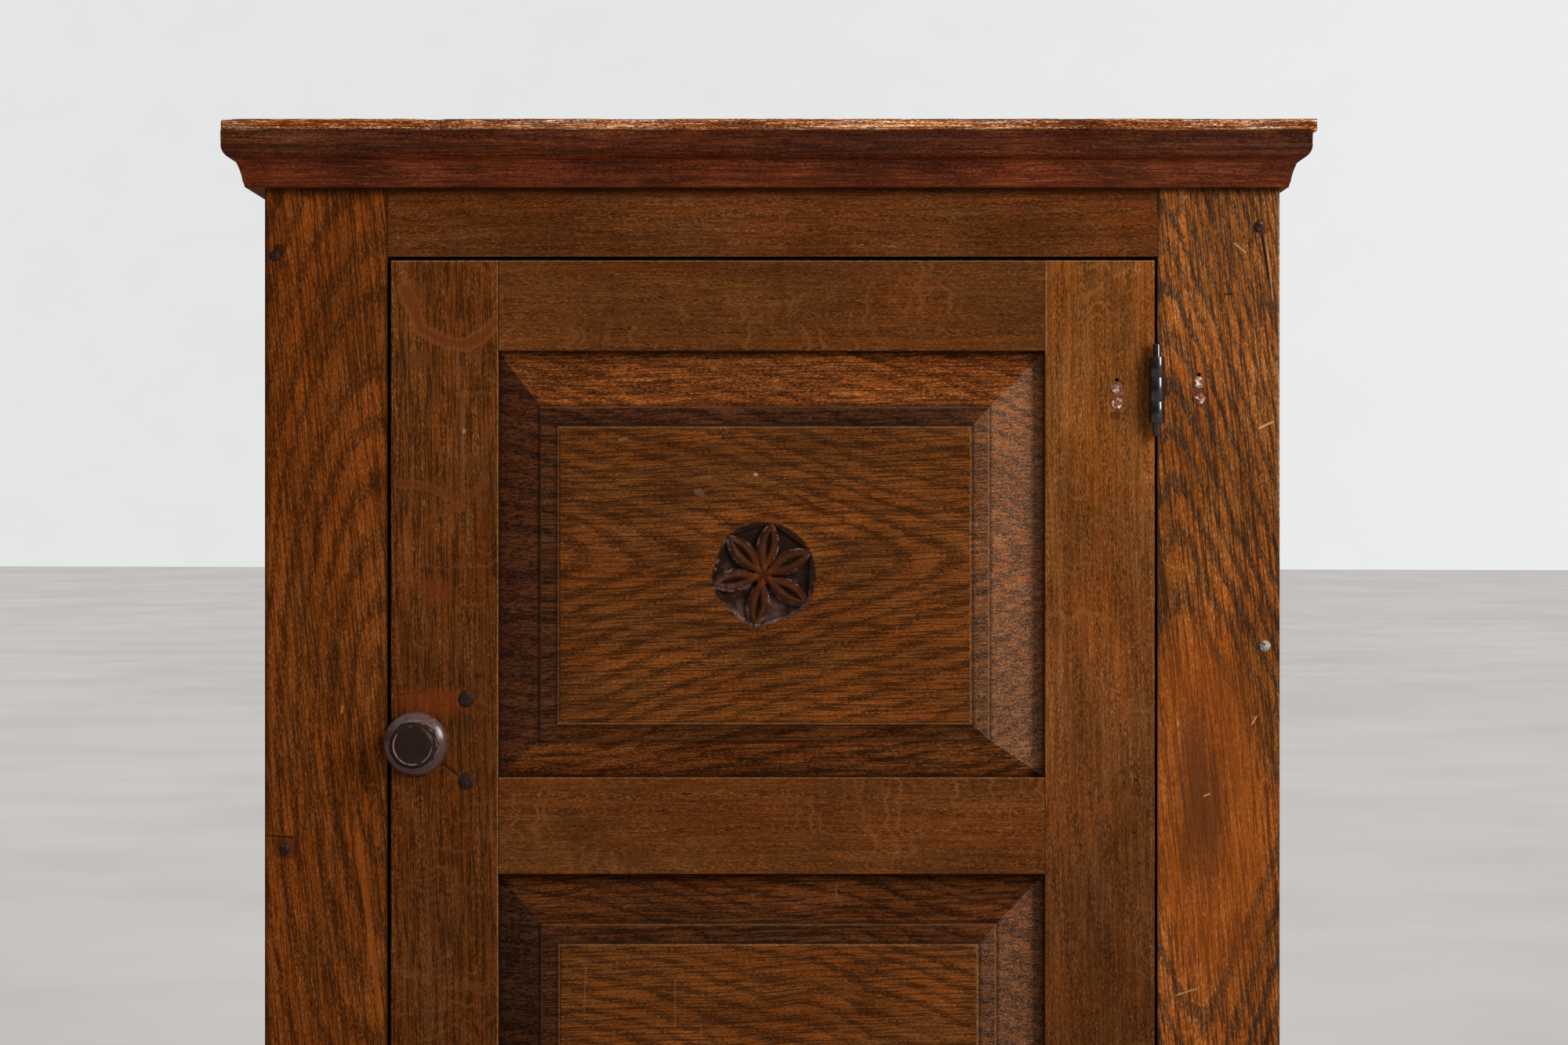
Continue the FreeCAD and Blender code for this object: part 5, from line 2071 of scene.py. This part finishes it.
@dataclass
class Ironwork(Assembly):
    """Hinges, nails, rivets and the latch.

    Attributes:
        nail_radius: radius of a hinge nail's head.
        nail_height: how far it stands out.
        board_nail_radius: radius of a frame nail's head.
        board_nail_height: how far it stands out.
        rivet_radius: radius of a rivet's head.
        rivet_height: how far it stands out.
        hinge_arris: width of the hinges' rounding.
        latch_arris: width of the latch's rounding.
    """

    nail_radius: float = 4.4 * MM
    nail_height: float = 1.6 * MM
    board_nail_radius: float = 4.1 * MM
    board_nail_height: float = 1.1 * MM
    rivet_radius: float = 6.0 * MM
    rivet_height: float = 1.6 * MM
    hinge_arris: float = 0.25 * MM
    latch_arris: float = 0.3 * MM

    def _heads(
        self,
        name: str,
        node: str,
        body: str,
        slot: str,
        size: tuple[float, float],
        rough: float,
        finish: bpy.types.Material,
    ) -> None:
        """Model the heads of one node's nails, which stand for the node.

        Args:
            name: the new piece's name.
            node: the node of the nails.
            body: the body that it rides on.
            slot: not used.
            size: radius and height of a head.
            rough: depth of the hammer marks as a share of the height.
            finish: the material.
        """
        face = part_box("frame_stile_left")[0].y
        bm = bmesh.new()
        for number, place in enumerate(head_places(self.nodes[node], face)):
            add_head(bm, place, size[0], size[1], 5.0 + 1.7 * number, rough)
        piece = settle(name, bm, body, finish)
        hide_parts(node)
        LOG.info("built %s", name)

    def build(self) -> None:
        """Dress all the iron and model the heads that show on the front."""
        black, nails, old, dark = (iron.material() for iron in (BLACK_IRON, NAIL_IRON, OLD_IRON, DARK_IRON))
        for node in self.nodes:
            if node.startswith("hinge_") and not node.endswith("nails"):
                self.dress(node, black, self.hinge_arris)
            elif node.endswith("nails"):
                self.dress(node, nails)
        for node in ("latch_plate", "latch_tongue", "latch_spindle"):
            self.dress(node, black, self.latch_arris)
        self.dress("latch_rivets", dark)
        hinge_size = (self.nail_radius, self.nail_height)
        board_size = (self.board_nail_radius, self.board_nail_height)
        rivet_size = (self.rivet_radius, self.rivet_height)
        self._heads("door_nail_heads", "hinge_door_nails", "door", "iron_nails", hinge_size, 0.7, nails)
        self._heads("hinge_nail_heads", "hinge_frame_nails", "carcass", "iron_nails", hinge_size, 0.7, nails)
        self._heads("frame_nail_heads", "frame_nails", "carcass", "iron_nails", board_size, 0.5, old)
        self._heads("rivet_heads", "latch_rivets", "door", "iron_black", rivet_size, 0.15, dark)


@dataclass
class Knob(Assembly):
    """The turned knob.

    Attributes:
        flange: the flange's radius.
        flange_height: how far its dome reaches.
        neck: radius of the narrow ring.
        head: radius of the head.
        face: radius of the flat face.
        steps: segments of the turning.
    """

    flange: float = 23.7 * MM
    flange_height: float = 7.4 * MM
    neck: float = 11.2 * MM
    head: float = 17.7 * MM
    face: float = 14.4 * MM
    steps: int = 96

    def build(self) -> None:
        """Turn the knob and dress it."""
        low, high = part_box("knob")
        middle = ((low.x + high.x) / 2, high.y, (low.z + high.z) / 2)
        reach = high.y - low.y
        outline = [
            (0.0, 0.0),
            (self.flange * 0.55, 0.0),
            (self.flange * 0.97, 0.0),
            (self.flange, 0.4 * MM),
            (self.flange, 1.4 * MM),
            (self.flange * 0.985, 2.4 * MM),
            (self.flange * 0.92, 4.2 * MM),
            (self.flange * 0.80, 5.9 * MM),
            (self.flange * 0.66, self.flange_height),
            (self.flange * 0.58, self.flange_height + 0.4 * MM),
            (self.neck + 0.8 * MM, self.flange_height + 0.9 * MM),
            (self.neck, self.flange_height + 1.8 * MM),
            (self.neck, self.flange_height + 4.5 * MM),
            (self.neck + 1.2 * MM, reach - 11.0 * MM),
            (self.head * 0.86, reach - 9.6 * MM),
            (self.head * 0.975, reach - 7.8 * MM),
            (self.head, reach - 5.6 * MM),
            (self.head * 0.985, reach - 3.6 * MM),
            (self.head * 0.93, reach - 1.9 * MM),
            (self.face + 0.9 * MM, reach - 0.5 * MM),
            (self.face, reach - 0.1 * MM),
            (self.face - 0.7 * MM, reach - 0.2 * MM),
            (self.face - 1.0 * MM, reach - 0.7 * MM),
            (self.face - 1.5 * MM, reach - 0.7 * MM),
            (self.face - 2.2 * MM, reach - 0.3 * MM),
            (self.face * 0.5, reach - 0.1 * MM),
            (0.0, reach - 0.05 * MM),
        ]
        # The last colour paints the highlights on the knob's rims.
        finish = TurnedWood(
            "knob_wood", middle, self.face - 0.6 * MM, self.head - 0.3 * MM, (80, 50, 43), (38, 24, 19), (150, 122, 108)
        ).material()
        bm = lathe(outline, middle, self.steps)
        knob = settle("turned_knob", bm, "latch", finish)
        smooth = knob.modifiers.new("Rounded", "SUBSURF")
        smooth.levels = 1
        smooth.render_levels = 1
        self.dress("knob", finish)
        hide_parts("knob")
        LOG.info("built turned_knob")


# ---------------------------------------------------------------- studio


@dataclass(frozen=True)
class Studio:
    """Floor, background, lights and camera.

    Attributes:
        eye: the camera's place.
        lens: focal length in millimetres on a 36 mm sensor.
        key_turn: how far the key light stands to the right of the front, in degrees.
        key_lift: its height over the horizon, in degrees.
        key_aim: the place that it points at.
        key_far: its distance from there.
        key_size: its width and height.
        key_power: its power in watts.
        fill: strength of the light from above.
        dim: strength of the light from the level of the eye.
        wall: the pale background.
        ground: the pale floor.
        clouds: how many levels darker the clouds on both are.
        gleam: how many levels the wall is painted lighter to the right, as light falling on it.
        horizon: where the floor meets the wall, on the left and on the right.
        floor_near: Y of the floor's near edge.
        floor_depth: how far it goes back from there.
        wall_height: the wall's height.
    """

    eye: Triple = (0.0109, -2.9918, 0.7932)
    lens: float = 87.8
    key_turn: float = 53.0
    key_lift: float = 20.0
    key_aim: Triple = (0.0, -0.19, 0.76)
    key_far: float = 3.2
    key_size: tuple[float, float] = (1.0, 1.2)
    key_power: float = 102.0
    fill: float = 1.28
    dim: float = 0.10
    wall: Triple = (230, 231, 231)
    ground: Triple = (207, 204, 201)
    clouds: float = 14.0
    gleam: float = 7.0
    horizon: tuple[Triple, Triple] = ((-60.0, 75.5, 0.0), (60.0, 51.0, 0.0))
    floor_near: float = -40.0
    floor_depth: float = 130.0
    wall_height: float = 60.0

    def _camera(self) -> None:
        """Make the camera at the photograph's viewpoint."""
        data = bpy.data.cameras.new("view")
        data.lens = self.lens
        data.sensor_width = 36.0
        data.clip_end = 300.0
        camera = put_in_scene("view", data)
        camera.location = self.eye
        camera.rotation_euler = (math.radians(90.0), 0.0, 0.0)
        bpy.context.scene.camera = camera

    def _key(self) -> None:
        """Hang the soft key light."""
        data = bpy.data.lights.new("key", "AREA")
        data.shape = "RECTANGLE"
        data.size, data.size_y = self.key_size
        data.energy = self.key_power
        lamp = put_in_scene("key", data)
        turn = math.radians(self.key_turn)
        lift = math.radians(self.key_lift)
        away = Vector((math.sin(turn) * math.cos(lift), -math.cos(turn) * math.cos(lift), math.sin(lift)))
        lamp.location = Vector(self.key_aim) + away * self.key_far
        lamp.rotation_euler = away.to_track_quat("Z", "Y").to_euler()

    def _world(self) -> None:
        """Light all round softly, more from above than from the level of the eye."""
        paint = Paint("room", world=True)
        lift = paint.axes()[2].step(0.10, 0.85) * (self.fill - self.dim) + self.dim
        light = paint.node("ShaderNodeBackground", {}, {"Strength": lift})
        bpy.context.scene.world = paint.finish(light)

    def _stage(self, name: str, colour: Triple, along: tuple[Vector, Vector], up: Vector, glow: float) -> None:
        """Set up a pale sheet: the floor, or the wall behind.

        Args:
            name: its name.
            colour: how it looks.
            along: its two near corners.
            up: from each near corner to the far one.
            glow: share of its look that is its own, for the camera and for gloss.
        """
        bm = bmesh.new()
        bmesh.ops.create_grid(bm, x_segments=1, y_segments=1, size=1.0)
        for vert in bm.verts:
            far = vert.co.y > 0.0
            vert.co = along[0 if vert.co.x < 0.0 else 1].copy()
            if far:
                vert.co += up
        bmesh.ops.recalc_face_normals(bm, faces=bm.faces)
        paint = Paint(name)
        cloud = paint.noise(paint.place, 1.1, 5.0, 0.55)
        flow = paint.weave(paint.place, (0.5, 0.16, 1.0), detail=4.0, rough=0.6)
        share = (cloud.step(0.35, 0.70) + flow.step(0.35, 0.68)) * (0.5 if name == "floor" else 0.12)
        pale = paint.blend(tone(*colour), tone(*(value - self.clouds for value in colour)), share)
        # painted light: the wall grows lighter to the right
        if name == "wall":
            lighter = tone(*(value + self.gleam for value in colour))
            pale = paint.blend(pale, lighter, paint.axes()[0].step(-4.0, 18.0))
        diffuse = paint.node("ShaderNodeBsdfDiffuse", {}, {"Color": pale})
        shine = paint.node("ShaderNodeEmission", {}, {"Color": pale, "Strength": 1.0})
        path = paint.node("ShaderNodeLightPath", {}, {}, "Is Camera Ray")
        for ray in ("Is Glossy Ray", "Is Transmission Ray"):
            path = path.top(paint.node("ShaderNodeLightPath", {}, {}, ray))
        both = paint.node("ShaderNodeMixShader", {}, {0: path * glow, 1: diffuse, 2: shine})
        sheet = put_in_scene(name, to_mesh(name, bm, paint.finish(both)))

    def _sheets(self) -> None:
        """Lay the floor and stand the wall, which meet where they do in the photograph."""
        left, right = (Vector(corner) for corner in self.horizon)
        near = (Vector((left.x, self.floor_near, 0.0)), Vector((right.x, self.floor_near, 0.0)))
        self._stage("wall", self.wall, (left, right), Vector((0.0, 0.0, self.wall_height)), 1.0)
        self._stage("floor", self.ground, near, Vector((0.0, self.floor_depth, 0.0)), 0.8)

    def build(self) -> None:
        """Set up the studio."""
        scene = bpy.context.scene
        scene.view_settings.view_transform = "Standard"
        self._camera()
        self._key()
        self._world()
        self._sheets()


def main() -> None:
    """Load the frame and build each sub-assembly."""
    logging.basicConfig(level=logging.INFO, format="%(name)s: %(message)s")
    for leftover in list(bpy.data.objects):
        bpy.data.objects.remove(leftover)
    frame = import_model()
    Studio().build()
    for kind in (FaceFrame, Door, Carcass, Crown, Ironwork, Knob):
        LOG.info("building %s", kind.__name__)
        kind(frame).build()
    bpy.context.view_layer.update()


if __name__ == "__main__":
    main()
